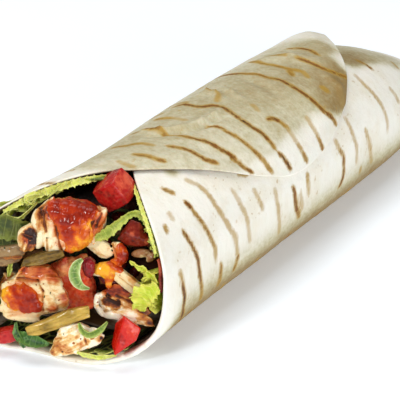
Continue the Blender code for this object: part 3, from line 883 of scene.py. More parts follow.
@dataclass
class RolledSheet:
    """The flour sheet: a flat round of dough, rolled, slanted at the mouth and tucked in at the tail."""

    thickness: float = 2.2
    flap_thinning: float = 1.15
    rim_thinning: float = 1.25
    pitch: Quantity = 2.7  # how far a turn of the sheet lies under the one before
    winding_zero: float = 220.0
    inner_start: float = 555.0  # unwound angle where the sheet starts inside
    wide: Quantity = 33.2
    high: Quantity = 28.6
    width_taper: float = 0.009
    height_taper: float = 0.012
    flare: Quantity = 1.8
    sag: float = 0.9
    upper_power: float = 2.15
    lower_power: float = 3.35
    flap_lift: Quantity = 1.2
    tip_lift: Quantity = 2.4
    far_dent: Quantity = 2.8
    tail_start: float = 140.0
    tail_span: float = 70.0
    tail_width_loss: float = 6.5
    tail_height_loss: float = 10.3
    tail_end: float = 205.0
    lip_radius: Quantity = 7.4
    tuck: float = 9.0
    flap_low: float = 88.0  # station from which the flap's edge climbs toward the mouth
    flap_far: float = 100.0  # station from which it climbs toward the tail
    flap_least: float = 11.0
    flap_rise: float = 0.97
    flap_bend: float = 0.004
    flap_reach: float = 135.0
    rim_middle: float = -8.0
    rim_slant: float = 16.0
    rim_side: float = 195.0
    arc: float = 0.54  # millimetres of sheet to a degree
    edge_steps: tuple[float, ...] = (0.0, 0.15, 0.45, 0.9, 1.5)  # the first rows and columns, from the edge
    column_step: float = 2.0
    hidden_columns: int = 8
    row_step: float = 1.1
    fine_turn: float = 365.0  # degrees of sheet from the flap's edge that the fine columns cover
    body_run: float = 210.0
    lip_rows: int = 20
    tuck_rows: int = 8
    passes: int = 40  # times that each row's run and angles are fitted to one another
    no_mark: float = 6.0  # distance that stands for no grill mark
    crease_lift: float = 1.7
    bars: int = 18  # the grill's bars on the hidden side
    bar_starts: tuple[float, float] = (318.0, 330.0)
    bar_end: float = 128.0
    bar_spacing: float = 10.8
    INPUTS: ClassVar[tuple[str, ...]] = (
        "pitch", "wide", "high", "flare", "lip_radius", "flap_lift", "tip_lift", "far_dent"
    )

    def half_width(self, y: Quantity) -> Quantity:
        """Half the width of the nominal oval.

        Args:
            y: the station.

        Returns:
            The half width, which flares at the mouth.
        """
        t = positive_part((y - self.tail_start) / self.tail_span, 0.1)
        straight = self.wide - self.width_taper * y - self.tail_width_loss * t * t
        return straight + self.flare * bell((y + 10.0) / 30.0)

    def half_height(self, y: Quantity) -> Quantity:
        """Half the height of the nominal oval at station y."""
        t = positive_part((y - self.tail_start) / self.tail_span, 0.1)
        return self.high - self.height_taper * y - self.tail_height_loss * t * t

    def flap_edge(self, y: Quantity) -> Quantity:
        """Angle of the sheet's outer edge, the flap's.

        Args:
            y: the station.

        Returns:
            The unwound angle.
        """
        u = positive_part(self.flap_low - y, 10.0)
        v = positive_part(y - self.flap_far, 10.0)
        climb = 0.30 * v + 0.0135 * v * v
        near = self.flap_least + self.flap_rise * u + self.flap_bend * u * u
        return near + climb / calc("POWER", 1.0 + calc("POWER", climb / self.flap_reach, 4.0), 0.25)

    def mouth_rim(self, angle: np.ndarray) -> np.ndarray:
        """Station of the sheet's front edge at an unwound angle."""
        sway = self.rim_middle - self.rim_slant * np.cos(np.radians(angle - self.rim_side))
        return sway + 0.0059 * positive_part(angle - 370.0, 8.0) ** 2

    def front(self, angle: np.ndarray) -> np.ndarray:
        """Station where the sheet starts on its first turn.

        Args:
            angle: unwound angles.

        Returns:
            The station of its rim, or of the flap's edge where that is further on.
        """
        root = np.sqrt(self.flap_rise**2 + 4.0 * self.flap_bend * (angle - self.flap_least))
        edge = self.flap_low - (root - self.flap_rise) / (2.0 * self.flap_bend)
        rim = self.mouth_rim(angle)
        return rim + positive_part(edge - rim, 3.0)

    def section(self, angle: Quantity, width: Quantity, height: Quantity) -> tuple[Quantity, ...]:
        """Point and outward normal of the rounded oval at an angle, about its own centre.

        Args:
            angle: unwound angle in degrees.
            width: half the oval's width.
            height: half the oval's height.

        Returns:
            X and Z of the point, then X and Z of the normal.
        """
        turn = angle * (math.pi / 180.0)
        c, s = calc("COSINE", turn), calc("SINE", turn)
        power = 2.0 / (self.lower_power + (self.upper_power - self.lower_power) * calc("GREATER_THAN", s, 0.0))
        x = width * calc("SIGN", c) * calc("POWER", calc("ABSOLUTE", c), power)
        z = height * calc("SIGN", s) * calc("POWER", calc("ABSOLUTE", s), power)
        nx, nz = c / width, s / height
        length = calc("SQRT", nx * nx + nz * nz)
        return x, z, nx / length, nz / length

    def level(self, angle: Quantity, y: Quantity) -> Quantity:
        """Height of the outer face above the nominal oval at an unwound angle and a station."""
        dent = self.far_dent * bell((y - 34.0) / 42.0) * bell((angle - 145.0) / 36.0)
        return self.pitch * (self.winding_zero - angle) / 360.0 - dent

    def point(self, angle: Quantity, run: Quantity, depth: Quantity) -> tuple[Quantity, ...]:
        """Place of a point of the sheet in the roll.

        Args:
            angle: unwound angle in degrees.
            run: distance toward the tail and round its lip.
            depth: depth below the outer face.

        Returns:
            X, Y and Z.
        """
        y = calc("MINIMUM", run, self.tail_end)
        turn = calc("MINIMUM", calc("MAXIMUM", (run - self.tail_end) / self.lip_radius, 0.0), math.pi)
        tuck = calc("MAXIMUM", run - self.tail_end - math.pi * self.lip_radius, 0.0)
        shrink = self.lip_radius * (1.0 - calc("COSINE", turn))
        height = self.half_height(y)
        x, z, nx, nz = self.section(angle, self.half_width(y) - shrink, height - shrink)
        edge = angle - self.flap_edge(y)
        near_tail = ramp(128.0, 160.0, y) * (1.0 - ramp(175.0, 200.0, y))
        level = self.level(angle, y) + self.flap_lift * near_tail * bell(edge / 55.0)
        level = level + self.tip_lift * bell((y - 171.0) / 11.0) * bell((angle - 110.0) / 26.0)
        level = level + 0.8 * bell(edge / 14.0) * bell((y - 35.0) / 40.0)
        floor = calc("MAXIMUM", self.sag - height - z - nz * level * calc("COSINE", turn), 0.0)
        off = level - depth
        return (
            x + nx * off * calc("COSINE", turn),
            y + (self.lip_radius + off) * calc("SINE", turn) - tuck,
            height - self.sag + z + nz * off * calc("COSINE", turn) + floor,
        )

    def wall(self, angle: np.ndarray, y: np.ndarray, inset: np.ndarray) -> np.ndarray:
        """Points inside the roll.

        Args:
            angle: unwound angles.
            y: stations.
            inset: distances in from the outer face of the single sheet.

        Returns:
            The points.
        """
        height = self.half_height(y)
        x, z, nx, nz = self.section(angle, self.half_width(y), height)
        face = self.level(angle, y)
        floor = np.maximum(0.0, self.sag - height - z - nz * face)
        off = face - inset
        return np.stack([x + nx * off, y, height - self.sag + z + nz * off + floor], axis=-1)

    def flat_grid(self) -> tuple[np.ndarray, np.ndarray]:
        """Unwound angles and runs of the sheet's grid, closer together along its edges.

        Returns:
            The angles and the runs, one row for each station.
        """
        near = np.array(self.edge_steps)
        fine = np.arange(near[-1] / self.arc + self.column_step, self.fine_turn, self.column_step)
        offsets = np.concatenate([near / self.arc, fine])
        hidden = np.linspace(0.0, 1.0, self.hidden_columns + 1)[1:]
        body = np.concatenate([near, np.full(int(self.body_run / self.row_step), -1.0)])
        body[len(near):] = np.linspace(0.0, 1.0, len(body) - len(near) + 1)[1:]
        lip_end = self.tail_end + math.pi * self.lip_radius
        tucked = lip_end + self.tuck * np.linspace(0.1, 1.0, self.tuck_rows)
        lip = np.concatenate([np.linspace(self.tail_end, lip_end, self.lip_rows + 1)[1:], tucked])
        angles = np.zeros((len(body) + len(lip), len(offsets) + len(hidden)))
        runs = np.zeros_like(angles)
        for i in range(len(angles)):
            run = np.full(angles.shape[1], 0.0 if i < len(body) else lip[i - len(body)])
            for _ in range(self.passes):
                edge = self.flap_edge(np.minimum(run, self.tail_end))
                last = edge[-len(hidden):] + offsets[-1]
                tail = last + hidden * (self.inner_start - last)
                angle = np.concatenate([edge[: len(offsets)] + offsets, tail])
                if i < len(body):
                    front = self.mouth_rim(angle)
                    start = front + near[-1]
                    run = front + body[i] if i < len(near) else start + body[i] * (self.tail_end - start)
            angles[i] = angle
            runs[i] = run
        return angles, runs

    def faces_depth(self, angles: np.ndarray, runs: np.ndarray) -> tuple[np.ndarray, np.ndarray]:
        """Depths of the sheet's outer and inner face, thinned and rounded along its edges.

        Args:
            angles: unwound angles of the grid.
            runs: runs of the grid.

        Returns:
            The outer and the inner depth.
        """
        from_flap = (angles - self.flap_edge(np.minimum(runs, self.tail_end))) * self.arc
        from_rim = runs - self.mouth_rim(angles)
        outer = self.flap_thinning * (1.0 - ramp(0.0, 9.0, from_flap))
        thinning = self.rim_thinning * (1.0 - 0.95 * bell((angles - 310.0) / 50.0))
        inner = self.thickness - thinning * (1.0 - ramp(0.0, 14.0, from_rim))
        half = (inner - outer) / 2.0
        inset = np.maximum(half - np.minimum(from_flap, from_rim), 0.0)
        rounding = half - np.sqrt(np.maximum(half**2 - (inset * 0.97) ** 2, 0.0))
        return outer + rounding, inner - rounding

    def segment_field(self, rows: tuple, flat: np.ndarray) -> tuple[np.ndarray, np.ndarray]:
        """Distance of each point from the nearest of some marks, and that mark's strength.

        Args:
            rows: start, end, half width and strength of each mark.
            flat: points of the flat sheet, X along the arc and Y along the run.

        Returns:
            Distance beyond the mark's own edge, and its strength.
        """
        best = np.full(len(flat), self.no_mark)
        strength = np.zeros(len(flat))
        for a0, r0, a1, r1, half, power in rows:
            away, t = away_from(flat[:, :2], (a0 * self.arc, r0), (a1 * self.arc, r1))
            gap = away - half * (1.0 - 0.35 * (2.0 * t - 1.0) ** 4)
            near = gap < best
            best[near] = gap[near]
            strength[near] = power
        return best, strength

    def hidden_marks(self) -> tuple:
        """Grill marks for the far side and the underside: broken bars at the grill's own spacing.

        Returns:
            Rows as those of the marks on the visible side.
        """
        random = np.random.default_rng(7)
        rows = []
        for bar in range(self.bars):
            angle = self.bar_starts[bar % 2]
            while angle > self.bar_end:
                length = random.uniform(10.0, 34.0)
                run = 12.0 + self.bar_spacing * bar + 0.03 * (angle - 200.0) + random.uniform(-0.5, 0.5)
                if random.random() < 0.72:
                    half, power = random.uniform(0.3, 0.6), random.uniform(0.35, 0.95)
                    rows.append((angle, run, angle - length, run - 1.0, half, power))
                angle -= length + random.uniform(3.0, 14.0)
        return tuple(rows)

    def rolling_tree(self) -> ShapeTree:
        """The tree that lifts the flat sheet's creases and fine waves, and rolls it up.

        Returns:
            The tree, with an input for each size that shapes the roll.
        """
        kinds = {name: Socket.NUMBER for name in (*self.INPUTS, "wave", "ripple")}
        tree = ShapeTree("roll_sheet", **kinds, material=Socket.MATERIAL)
        sized = replace(self, **{name: tree.given(name) for name in self.INPUTS})
        flat = tree.node("GeometryNodeInputPosition")
        across, run, down = (tree.part(flat, axis) * (1.0 / MM) for axis in range(3))
        lift = tree.node("GeometryNodeInputNamedAttribute", {"Name": "lift"}, data_type="FLOAT")
        wave = (tree.noise(flat, 26.0, 2.0, 0.55) - 0.5) * tree.given("wave")
        ripple = (tree.noise(flat, 4.0, 3.0, 0.55) - 0.5) * tree.given("ripple")
        x, y, z = sized.point(across / self.arc, run, -1.0 * down - lift - wave - ripple)
        place = tree.node(
            "ShaderNodeCombineXYZ",
            {0: (x - SHIFT[0]) * MM, 1: (y - SHIFT[1]) * MM, 2: calc("MAXIMUM", z - SHIFT[2], 0.0) * MM},
        )
        tree.close(tree.node("GeometryNodeSetPosition", {"Geometry": tree.given(), "Position": place}))
        return tree

    def build(self) -> None:
        """Makes the flat round of dough, marks it and rolls it up."""
        angles, runs = self.flat_grid()
        outer, inner = self.faces_depth(angles, runs)
        grid = [np.stack([angles * self.arc, runs, -depth], axis=-1) for depth in (outer, inner)]
        flat = np.concatenate([layer.reshape(-1, 3) for layer in grid])
        mesh = bpy.data.meshes.new("tortilla_sheet")
        mesh.from_pydata((flat * MM).tolist(), [], slab_faces(*angles.shape))
        top = flat[: len(flat) // 2]
        turn = top[:, 0] / self.arc
        scorch, depth = self.segment_field(MARKS + self.hidden_marks(), top)
        crease = np.zeros(len(top))
        for row in FOLDS:
            gap, _ = self.segment_field((row,), top)
            crease += self.crease_lift * row[5] * bell(np.maximum(gap + row[4], 0.0) / (row[4] * 1.4))
        # the patches are toasting and painted shade: the flap and the top are darkened where less light falls
        near = [bell(np.hypot(top[:, 0] - row[0] * self.arc, top[:, 1] - row[1]) / row[2]) for row in TOAST]
        toast = sum(row[3] * weight for row, weight in zip(TOAST, near)) / np.maximum(sum(near), 1.0)
        # painted shade with some toasting: a band along the underside darkens toward the floor, starting a
        # little behind the mouth's rim and fading before the tail
        under = (1.0 - ramp(326.0, 368.0, turn)) * ramp(215.0, 250.0, turn)
        from_rim = (runs - self.mouth_rim(angles)).ravel()
        browned = 0.95 * under * ramp(2.5, 15.0, from_rim) * (1.0 - ramp(180.0, 228.0, top[:, 1]))
        toast = np.maximum(toast, browned)
        inside = np.zeros(len(top))
        # the inner face darkens a few millimetres in from the rim as painted shade with some juice stain,
        # starting later along the lower lip
        dry = 2.2 * bell((angles.ravel() - 312.0) / 30.0)
        juice = ramp(1.0, 5.0, from_rim - dry) * ramp(5.0, 30.0, top[:, 0])
        held = ramp(250.0, 262.0, turn) * (1.0 - ramp(278.0, 290.0, turn))  # kept flat where it rests
        keep(mesh, "flat", flat * MM)
        keep(mesh, "lift", np.tile(crease * (1.0 - held), 2))
        keep(mesh, "scorch", np.concatenate([scorch, inside + self.no_mark]))
        keep(mesh, "scorch_depth", np.concatenate([depth, inside]))
        keep(mesh, "toast", np.concatenate([toast, inside]))
        keep(mesh, "juice", np.concatenate([inside, juice]))
        piece = bpy.data.objects.new("tortilla_sheet", mesh)
        bpy.context.scene.collection.objects.link(piece)
        material = GrilledDough().material()
        sizes = {name: getattr(self, name) for name in self.INPUTS}
        self.rolling_tree().run(piece, **sizes, wave=0.7, ripple=0.22, material=material)
        settle(piece, material, "tortilla", "tortilla")


ROLL = RolledSheet()


@dataclass(frozen=True)
class Mouth:
    """The slanted mouth's own axes: across toward the flap side, up, and into the roll."""

    centre: tuple[float, float, float] = (0.0, -9.0, 29.0)
    skew: float = 0.48
    lean: float = 0.20

    def axes(self) -> np.ndarray:
        """The mouth's three axes.

        Returns:
            Across, up and inward, one a row.
        """
        across = Vector((1.0, self.skew, 0.0)).normalized()
        inward = Vector((-self.skew, 1.0, -self.lean)).normalized()
        return np.array([across, across.cross(inward), inward])

    def seen(self, points: np.ndarray) -> np.ndarray:
        """Points of the roll as across, up and inward from the mouth's centre."""
        return (points - self.centre) @ self.axes().T

    def placed(self, seen: np.ndarray) -> np.ndarray:
        """Points given across, up and inward from the mouth's centre, in the roll's own axes."""
        return self.centre + np.asarray(seen, float) @ self.axes()

    def along(self, turn: float) -> np.ndarray:
        """Direction in the mouth's plane, from its angle above across."""
        across, up, _ = self.axes()
        return across * math.cos(math.radians(turn)) + up * math.sin(math.radians(turn))


MOUTH = Mouth()


@dataclass(frozen=True)
class Spot:
    """A round place in the mouth's own axes."""

    across: float
    up: float
    inward: float
    radius: float
    power: float = 1.0

    def near(self, seen: np.ndarray) -> np.ndarray:
        """How much each point belongs to the spot, from zero to its power."""
        away = np.linalg.norm((seen - (self.across, self.up, self.inward)) * (1.0, 1.0, 0.6), axis=1)
        return self.power * (1.0 - ramp(0.2, 1.4, away / self.radius))


def painted(seen: np.ndarray, rows: tuple) -> np.ndarray:
    """The strongest of some spots at each point, from rows of their numbers."""
    return np.max([np.zeros(len(seen))] + [Spot(*row).near(seen) for row in rows], axis=0)


def taken(form: bmesh.types.BMesh) -> tuple[np.ndarray, list]:
    """Points and faces of a form, which is then let go.

    Args:
        form: the form.

    Returns:
        Points and faces.
    """
    points = np.array([v.co for v in form.verts])
    faces = [tuple(v.index for v in f.verts) for f in form.faces]
    form.free()
    return points, faces


def blob(where: np.ndarray, frame_axes: np.ndarray, size: tuple) -> tuple[np.ndarray, list]:
    """Points and faces of an ellipsoid.

    Args:
        where: its centre.
        frame_axes: its three axes, one a row.
        size: its length along each.

    Returns:
        Points and faces.
    """
    form = bmesh.new()
    bmesh.ops.create_icosphere(form, subdivisions=2, radius=0.5)
    points, faces = taken(form)
    return where + (points * np.array(size)) @ frame_axes, faces


def joined(parts: list[tuple[np.ndarray, list]]) -> tuple[np.ndarray, list]:
    """Several meshes as one.

    Args:
        parts: points and faces of each.

    Returns:
        Points and faces.
    """
    points, faces, count = [], [], 0
    for own, own_faces in parts:
        points.append(own)
        faces += [tuple(i + count for i in f) for f in own_faces]
        count += len(own)
    return np.concatenate(points), faces


def hull(corners: np.ndarray) -> tuple[np.ndarray, list]:
    """Convex hull of some corners.

    Args:
        corners: the corners, one a row.

    Returns:
        Points and faces.
    """
    form = bmesh.new()
    for corner in corners:
        form.verts.new(corner)
    made = bmesh.ops.convex_hull(form, input=form.verts)
    inner = [e for e in made["geom_interior"] if isinstance(e, bmesh.types.BMVert)]
    bmesh.ops.delete(form, geom=inner, context="VERTS")
    form.verts.index_update()
    return taken(form)


def relief_tree() -> ShapeTree:
    """The tree that gives a smooth lump its torn faces, fibres and pits.

    Returns:
        The tree, with an input for the height and the size of its lumps and of its fibres.
    """
    numbers = {name: Socket.NUMBER for name in ("lump", "lump_size", "fibre", "fibre_size", "seed")}
    tree = ShapeTree("tear_and_fibre", **numbers, grain=Socket.VECTOR, material=Socket.MATERIAL)
    here = tree.node("GeometryNodeInputPosition")
    moved = tree.vector_math("ADD", here, tree.node("ShaderNodeCombineXYZ", {0: tree.given("seed")}))
    drawn = tree.drawn(moved, tree.given("grain"), 0.16)
    big, fine = (
        tree.node("ShaderNodeTexNoise", {"Vector": vector, "Scale": 1.0 / MM / size, "Detail": detail})
        for vector, size, detail in (
            (moved, tree.given("lump_size"), 2.0), (drawn, tree.given("fibre_size"), 3.0)
        )
    )
    push = (big - 0.5) * tree.given("lump") + (fine - 0.5) * tree.given("fibre")
    normal = tree.node("GeometryNodeInputNormal")
    offset = tree.node("ShaderNodeVectorMath", {0: normal, "Scale": push * MM}, operation="SCALE")
    tree.close(tree.node("GeometryNodeSetPosition", {"Geometry": tree.given(), "Offset": offset}))
    return tree


RELIEF = relief_tree()


def board(outline: tuple, deep: float, thick: float, bulge: float = 0.6) -> tuple:
    """Corners of a flat piece that lies across the mouth.

    Args:
        outline: across and up of each corner of its outline.
        deep: how far in its face lies.
        thick: its thickness.
        bulge: how far the face's middle stands out from its edge.

    Returns:
        The corners.
    """
    middle = np.mean(outline, axis=0)
    back = middle + (np.array(outline) - middle) * 0.88
    rows = [(u, v, deep + bulge) for u, v in outline] + [(u, v, deep + thick) for u, v in back.tolist()]
    heart = middle + (np.array(outline) - middle) * 0.5
    return tuple(rows + [(u, v, deep) for u, v in heart.tolist()])


def smoothed(points: np.ndarray, faces: list, times: int) -> np.ndarray:
    """Points drawn toward the middle of their neighbours.

    Args:
        points: the points of a mesh.
        faces: its faces.
        times: how many times they are drawn.

    Returns:
        The points' new places.
    """
    edges = np.array([(a, b) for f in faces for a, b in zip(f, f[1:] + f[:1])])
    first, second = np.concatenate([edges, edges[:, ::-1]]).T
    count = np.maximum(np.bincount(first, minlength=len(points)), 1)
    for _ in range(times):
        total = [np.bincount(first, points[second, axis], len(points)) for axis in range(3)]
        points = 0.4 * points + 0.6 * (np.array(total) / count).T
    return points


@dataclass(frozen=True)
class SauceCoat:
    """Sauce over part of a morsel, thick in the middle and drawn down to nothing at its edge."""

    name: str
    slot: str
    body: tuple
    warm: tuple = ()
    thick: float = 0.9
    bias: float = 0.3
    edge: float = -0.22  # how far below the sauce's own line its skin still goes
    root: float = 0.4  # how deep the skin's underside sits in the host
    calming: int = 16

    def build(self, host: bpy.types.Object, material: bpy.types.Material) -> None:
        """Lifts a closed skin off the host where the sauce lies.

        Args:
            host: the finished morsel.
            material: the sauce's material.
        """
        mesh = host.data
        points, normals = points_of(mesh), normals_of(mesh)
        ripple = np.sin(points @ np.array([1.9, 1.1, 0.7])) + np.sin(points @ np.array([-0.8, 2.3, 1.4]) + 1.0)
        lumps = np.sin(points @ np.array([3.1, -1.2, 2.0])) * np.sin(points @ np.array([1.3, 2.1, -2.9]))
        body = painted(MOUTH.seen(points), self.body) + 0.07 * ripple - self.bias
        every = [tuple(f.vertices) for f in mesh.polygons]
        faces = [f for f in every if all(body[i] > self.edge for i in f)]
        used = np.unique([i for f in faces for i in f])
        index = {int(old): new for new, old in enumerate(used)}
        top = [tuple(index[i] for i in f) for f in faces]
        calm = smoothed(points, every, self.calming)[used]
        inner = ramp(-0.02, 0.2, body[used])
        rise = self.thick * np.sign(body) * np.abs(body) ** 0.6 + 0.12 * lumps * ramp(0.0, 0.25, body)
        base = points[used] + (calm - points[used]) * inner[:, None]
        upper = base + normals[used] * (rise[used] + 0.15 * inner)[:, None]
        under = points[used] - normals[used] * (self.root + np.maximum(-rise[used], 0.0))[:, None]
        count = len(used)
        rim = {(a, b) for f in top for a, b in zip(f, f[1:] + f[:1])}
        sides = [(b, a, a + count, b + count) for a, b in sorted(rim) if (b, a) not in rim]
        floor = [tuple(i + count for i in f[::-1]) for f in top]
        piece = piece_of(self.name, np.concatenate([upper, under]), top + floor + sides)
        heat = painted(MOUTH.seen(upper), self.warm)
        keep(piece.data, "body", np.tile(body[used], 2))
        keep(piece.data, "warm", np.tile(heat, 2))
        settle(piece, material, self.slot)


@dataclass(frozen=True)
class Morsel:
    """A torn or cut piece of filling, shaped from its own solid, from corners or from boards.

    All places are across, up and inward in the mouth, and the grain is an angle above across. A lobe is a
    place, a length, a width, a thickness and a turn. A board is an outline, a depth, a thickness and a bulge.
    A crease is across and up of both ends, a width and a depth. A spot is a place, a radius and a power.
    """

    PAINTS: ClassVar[tuple[str, ...]] = ("sear", "stain", "char", "pale")

    node: str
    slot: str
    finish: Finish
    voxel: float = 0.42
    soften: int = 4
    lump: float = 1.2
    lump_size: float = 5.0
    fibre: float = 0.6
    fibre_size: float = 1.5
    grain: float = 0.0
    flakes: int = 0
    flake: tuple[float, float, float] = (7.0, 2.3, 1.4)
    lobes: tuple = ()
    corners: tuple = ()
    boards: tuple = ()
    stands: bool = True  # whether it stands for the node of its name
    shift: tuple[float, float, float] = (0.0, 0.0, 0.0)
    creases: tuple = ()
    sear: tuple = ()
    stain: tuple = ()
    char: tuple = ()
    pale: tuple = ()
    coat: SauceCoat | None = None
    sunk: float = 0.32  # how deep a flake sits, of its thickness
    hollow_depth: float = 0.4  # depth of a hollow that is painted in full shade
    hollow_reach: int = 9

    def body(self) -> tuple[np.ndarray, list]:
        """The boards, the hull of the corners or the node's own solid.

        Returns:
            Points and faces.
        """
        if self.corners or self.boards:
            solids = [board(*row) for row in self.boards] + [self.corners] * bool(self.corners)
            return joined([hull(MOUTH.placed(corners)) for corners in solids])
        points, faces = node_mesh(self.node)
        return points + np.array(self.shift) @ MOUTH.axes(), faces

    def shape(self) -> tuple[np.ndarray, list]:
        """The body with its lobes, and with flakes that lie along the grain.

        Returns:
            Points and faces.
        """
        points, faces = self.body()
        parts = [(points, faces)]
        inward = MOUTH.axes()[2]
        random = np.random.default_rng(sum(map(ord, self.node)))
        for across, up, deep, length, width, thick, turn in self.lobes:
            along = MOUTH.along(turn)
            axes = np.array([along, np.cross(-inward, along), -inward])
            parts.append(blob(MOUTH.placed((across, up, deep)), axes, (length, width, thick)))
        corners = np.array([[points[i] for i in f[:3]] for f in faces])
        normals = np.cross(corners[:, 1] - corners[:, 0], corners[:, 2] - corners[:, 0])
        area = np.linalg.norm(normals, axis=1)
        normals /= np.maximum(area, 1e-9)[:, None]
        weight = area * (0.35 + np.maximum(normals @ -inward, 0.0))
        grain = MOUTH.along(self.grain)
        for pick in random.choice(len(faces), self.flakes, p=weight / weight.sum()) if self.flakes else ():
            mix = random.dirichlet((1.0, 1.0, 1.0))
            normal = normals[pick]
            along = grain + 0.25 * random.normal(size=3)
            along -= normal * (along @ normal)
            along /= np.linalg.norm(along)
            axes = np.array([along, np.cross(normal, along), normal])
            size = np.array(self.flake) * random.uniform(0.6, 1.25)
            parts.append(blob(mix @ corners[pick] - normal * self.sunk * size[2], axes, tuple(size)))
        return joined(parts)

    def build(self) -> bpy.types.Object:
        """Remeshes the shape, softens and roughens it, creases it and paints it.

        Returns:
            The finished piece.
        """
        points, faces = self.shape()
        piece = piece_of(self.node + "_piece", points, faces)
        remesh = piece.modifiers.new("remesh", "REMESH")
        remesh.mode = "VOXEL"
        remesh.voxel_size = self.voxel * MM
        smooth = piece.modifiers.new("smooth", "SMOOTH")
        smooth.iterations = self.soften
        smooth.factor = 0.5
        material = self.finish.material()
        sizes = {name: getattr(self, name) for name in ("lump", "lump_size", "fibre", "fibre_size")}
        grain, seed = MOUTH.along(self.grain).tolist(), 0.011 * sum(map(ord, self.node))
        RELIEF.run(piece, **sizes, grain=grain, seed=seed, material=material)
        mesh = piece.data
        points = points_of(mesh)
        seen = MOUTH.seen(points)
        crease = np.zeros(len(points))
        for a, b, c, d, width, depth in self.creases:
            crease += depth * bell(away_from(seen[:, :2], (a, b), (c, d))[0] / width)
        points = points + crease[:, None] * MOUTH.axes()[2]
        mesh.vertices.foreach_set("co", ((points - SHIFT) * MM).astype(np.float32).ravel())
        mesh.update()
        # painted shade: how deep each point lies in a hollow or crease, which the meat's material darkens
        calm = smoothed(points, [tuple(f.vertices) for f in mesh.polygons], self.hollow_reach)
        hollow = np.einsum("ij,ij->i", calm - points, normals_of(mesh))
        keep(mesh, "hollow", np.clip(hollow / self.hollow_depth, -1.0, 1.0) + 0.5 * crease)
        for name in self.PAINTS:
            if getattr(self, name):
                keep(mesh, name, painted(seen, getattr(self, name)))
        settle(piece, material, self.slot, *[self.node] * self.stands)
        return piece


def cut(node: str, slot: str, finish: Finish, **sizes: object) -> Morsel:
    """A cleanly cut morsel.

    Args:
        node: its name.
        slot: the record's slot that its finish comes from.
        finish: its finish.
        sizes: what differs from the usual cut piece.

    Returns:
        The morsel.
    """
    usual = {"voxel": 0.36, "soften": 3, "lump": 0.5, "lump_size": 5.0, "fibre": 0.12, "fibre_size": 1.2}
    return Morsel(node, slot, finish, **usual | sizes)


def meat(
    node: str, grain: float, slot: str = "chicken",
    flesh: tuple = CookedMeat.flesh, tan: tuple = CookedMeat.tan, **sizes: object,
) -> Morsel:
    """A torn piece of chicken with flakes along its grain.

    Args:
        node: its name.
        grain: the grain's angle above across.
        slot: the record's slot that its finish comes from.
        flesh: its palest colour.
        tan: its next colour.
        sizes: what differs from the usual torn piece.

    Returns:
        The morsel.
    """
    finish = CookedMeat(node + "_meat", tuple(MOUTH.along(grain)), flesh, tan)
    usual = {"flakes": 26, "soften": 3, "voxel": 0.38, "lump": 1.4, "fibre": 0.55}
    return Morsel(node, slot, finish, grain=grain, **usual | sizes)


@dataclass(frozen=True)
class WallLeaf:
    """A frilly lettuce leaf against the wall of the mouth, its front edge ruffled and curled in."""

    node: str
    finish: CrispLeaf
    first: float
    last: float
    setback: float
    length: float
    inset: float
    curl: float
    ruffles: float
    depth: float
    swing: float
    seed: int = 0
    layers: int = 1
    late: float = 0.0  # how much more it curls toward its last angle
    thick: float = 0.5
    step: float = 0.4
    layer_gap: float = 1.0
    layer_lag: float = 0.9  # how far behind the one before a layer starts
    clearance: float = 1.5  # least distance from the sheet's outer face at the rim

    def build(self) -> None:
        """Makes the leaf's layers as one closed mesh each, joined in one piece."""
        random = np.random.default_rng(self.seed)
        columns = int((self.last - self.first) * ROLL.arc / self.step)
        rows = int(self.length / (self.step * 1.6))
        u = np.linspace(0.0, 1.0, columns)[None, :] + np.zeros((rows, 1))
        v = np.linspace(0.0, 1.0, rows)[:, None] ** 1.35 + np.zeros((1, columns))
        parts, own = [], []
        for layer in range(self.layers):
            phase = random.uniform(0.0, 2.0 * math.pi, 8)
            fade = np.sin(math.pi * np.clip(5.0 * u * (1.0 - u), 0.0, 1.0) / 2.0)
            free = (1.0 - v) ** 1.7
            tip = (1.0 - v) ** 5
            turns = 2.0 * math.pi * self.ruffles * u
            warp = turns + 0.8 * np.sin(turns * 0.37 + phase[0])
            wave = np.sin(warp + phase[1]) + 0.55 * np.sin(2.1 * warp + phase[2]) * free
            frill = np.sin(4.3 * warp + phase[3] + 1.5 * np.sin(1.7 * warp)) * tip
            teeth = np.abs(np.sin(3.1 * warp + phase[4])) + 0.6 * np.abs(np.sin(7.3 * warp + phase[5]))
            angle = self.first + (self.last - self.first) * u
            lean = np.cos(warp + phase[1]) * free * 1.6 + np.cos(4.3 * warp + phase[3]) * tip * 0.9
            angle = angle + lean * fade
            swing = self.swing * free * np.cos(warp + 1.0 + phase[6]) + 0.5 * teeth * (1.0 - v) ** 3
            start = ROLL.front(angle) + self.setback + layer * self.layer_lag
            y = start + (ROLL.mouth_rim(angle) + self.setback + self.length - start) * v + swing
            curl = self.curl + self.late * u * u
            hump = curl * free * np.sin(math.pi * u) ** 0.5 * (1.0 + 0.25 * np.sin(1.3 * warp + phase[7]))
            middle = self.inset + layer * self.layer_gap + hump
            middle = middle + self.depth * fade * (wave * free + 0.45 * frill)
            middle = np.maximum(middle, self.clearance + 1.3 * ramp(0.0, 14.0, y - ROLL.mouth_rim(angle)))
            half = self.thick / 2.0 * (0.55 + 0.45 * ramp(0.0, 0.3, v))
            grids = [ROLL.wall(angle, y, middle - half), ROLL.wall(angle, y, middle + half)]
            parts.append((np.concatenate([grid.reshape(-1, 3) for grid in grids]), slab_faces(rows, columns)))
            flat = np.stack([u * (self.last - self.first) * ROLL.arc, v * self.length, u * 0.0], axis=-1)
            own += [flat.reshape(-1, 3)] * 2
        piece = piece_of(self.node + "_leaf", *joined(parts))
        keep(piece.data, "leaf", np.concatenate(own) * MM)
        settle(piece, self.finish.material(), "lettuce", self.node)


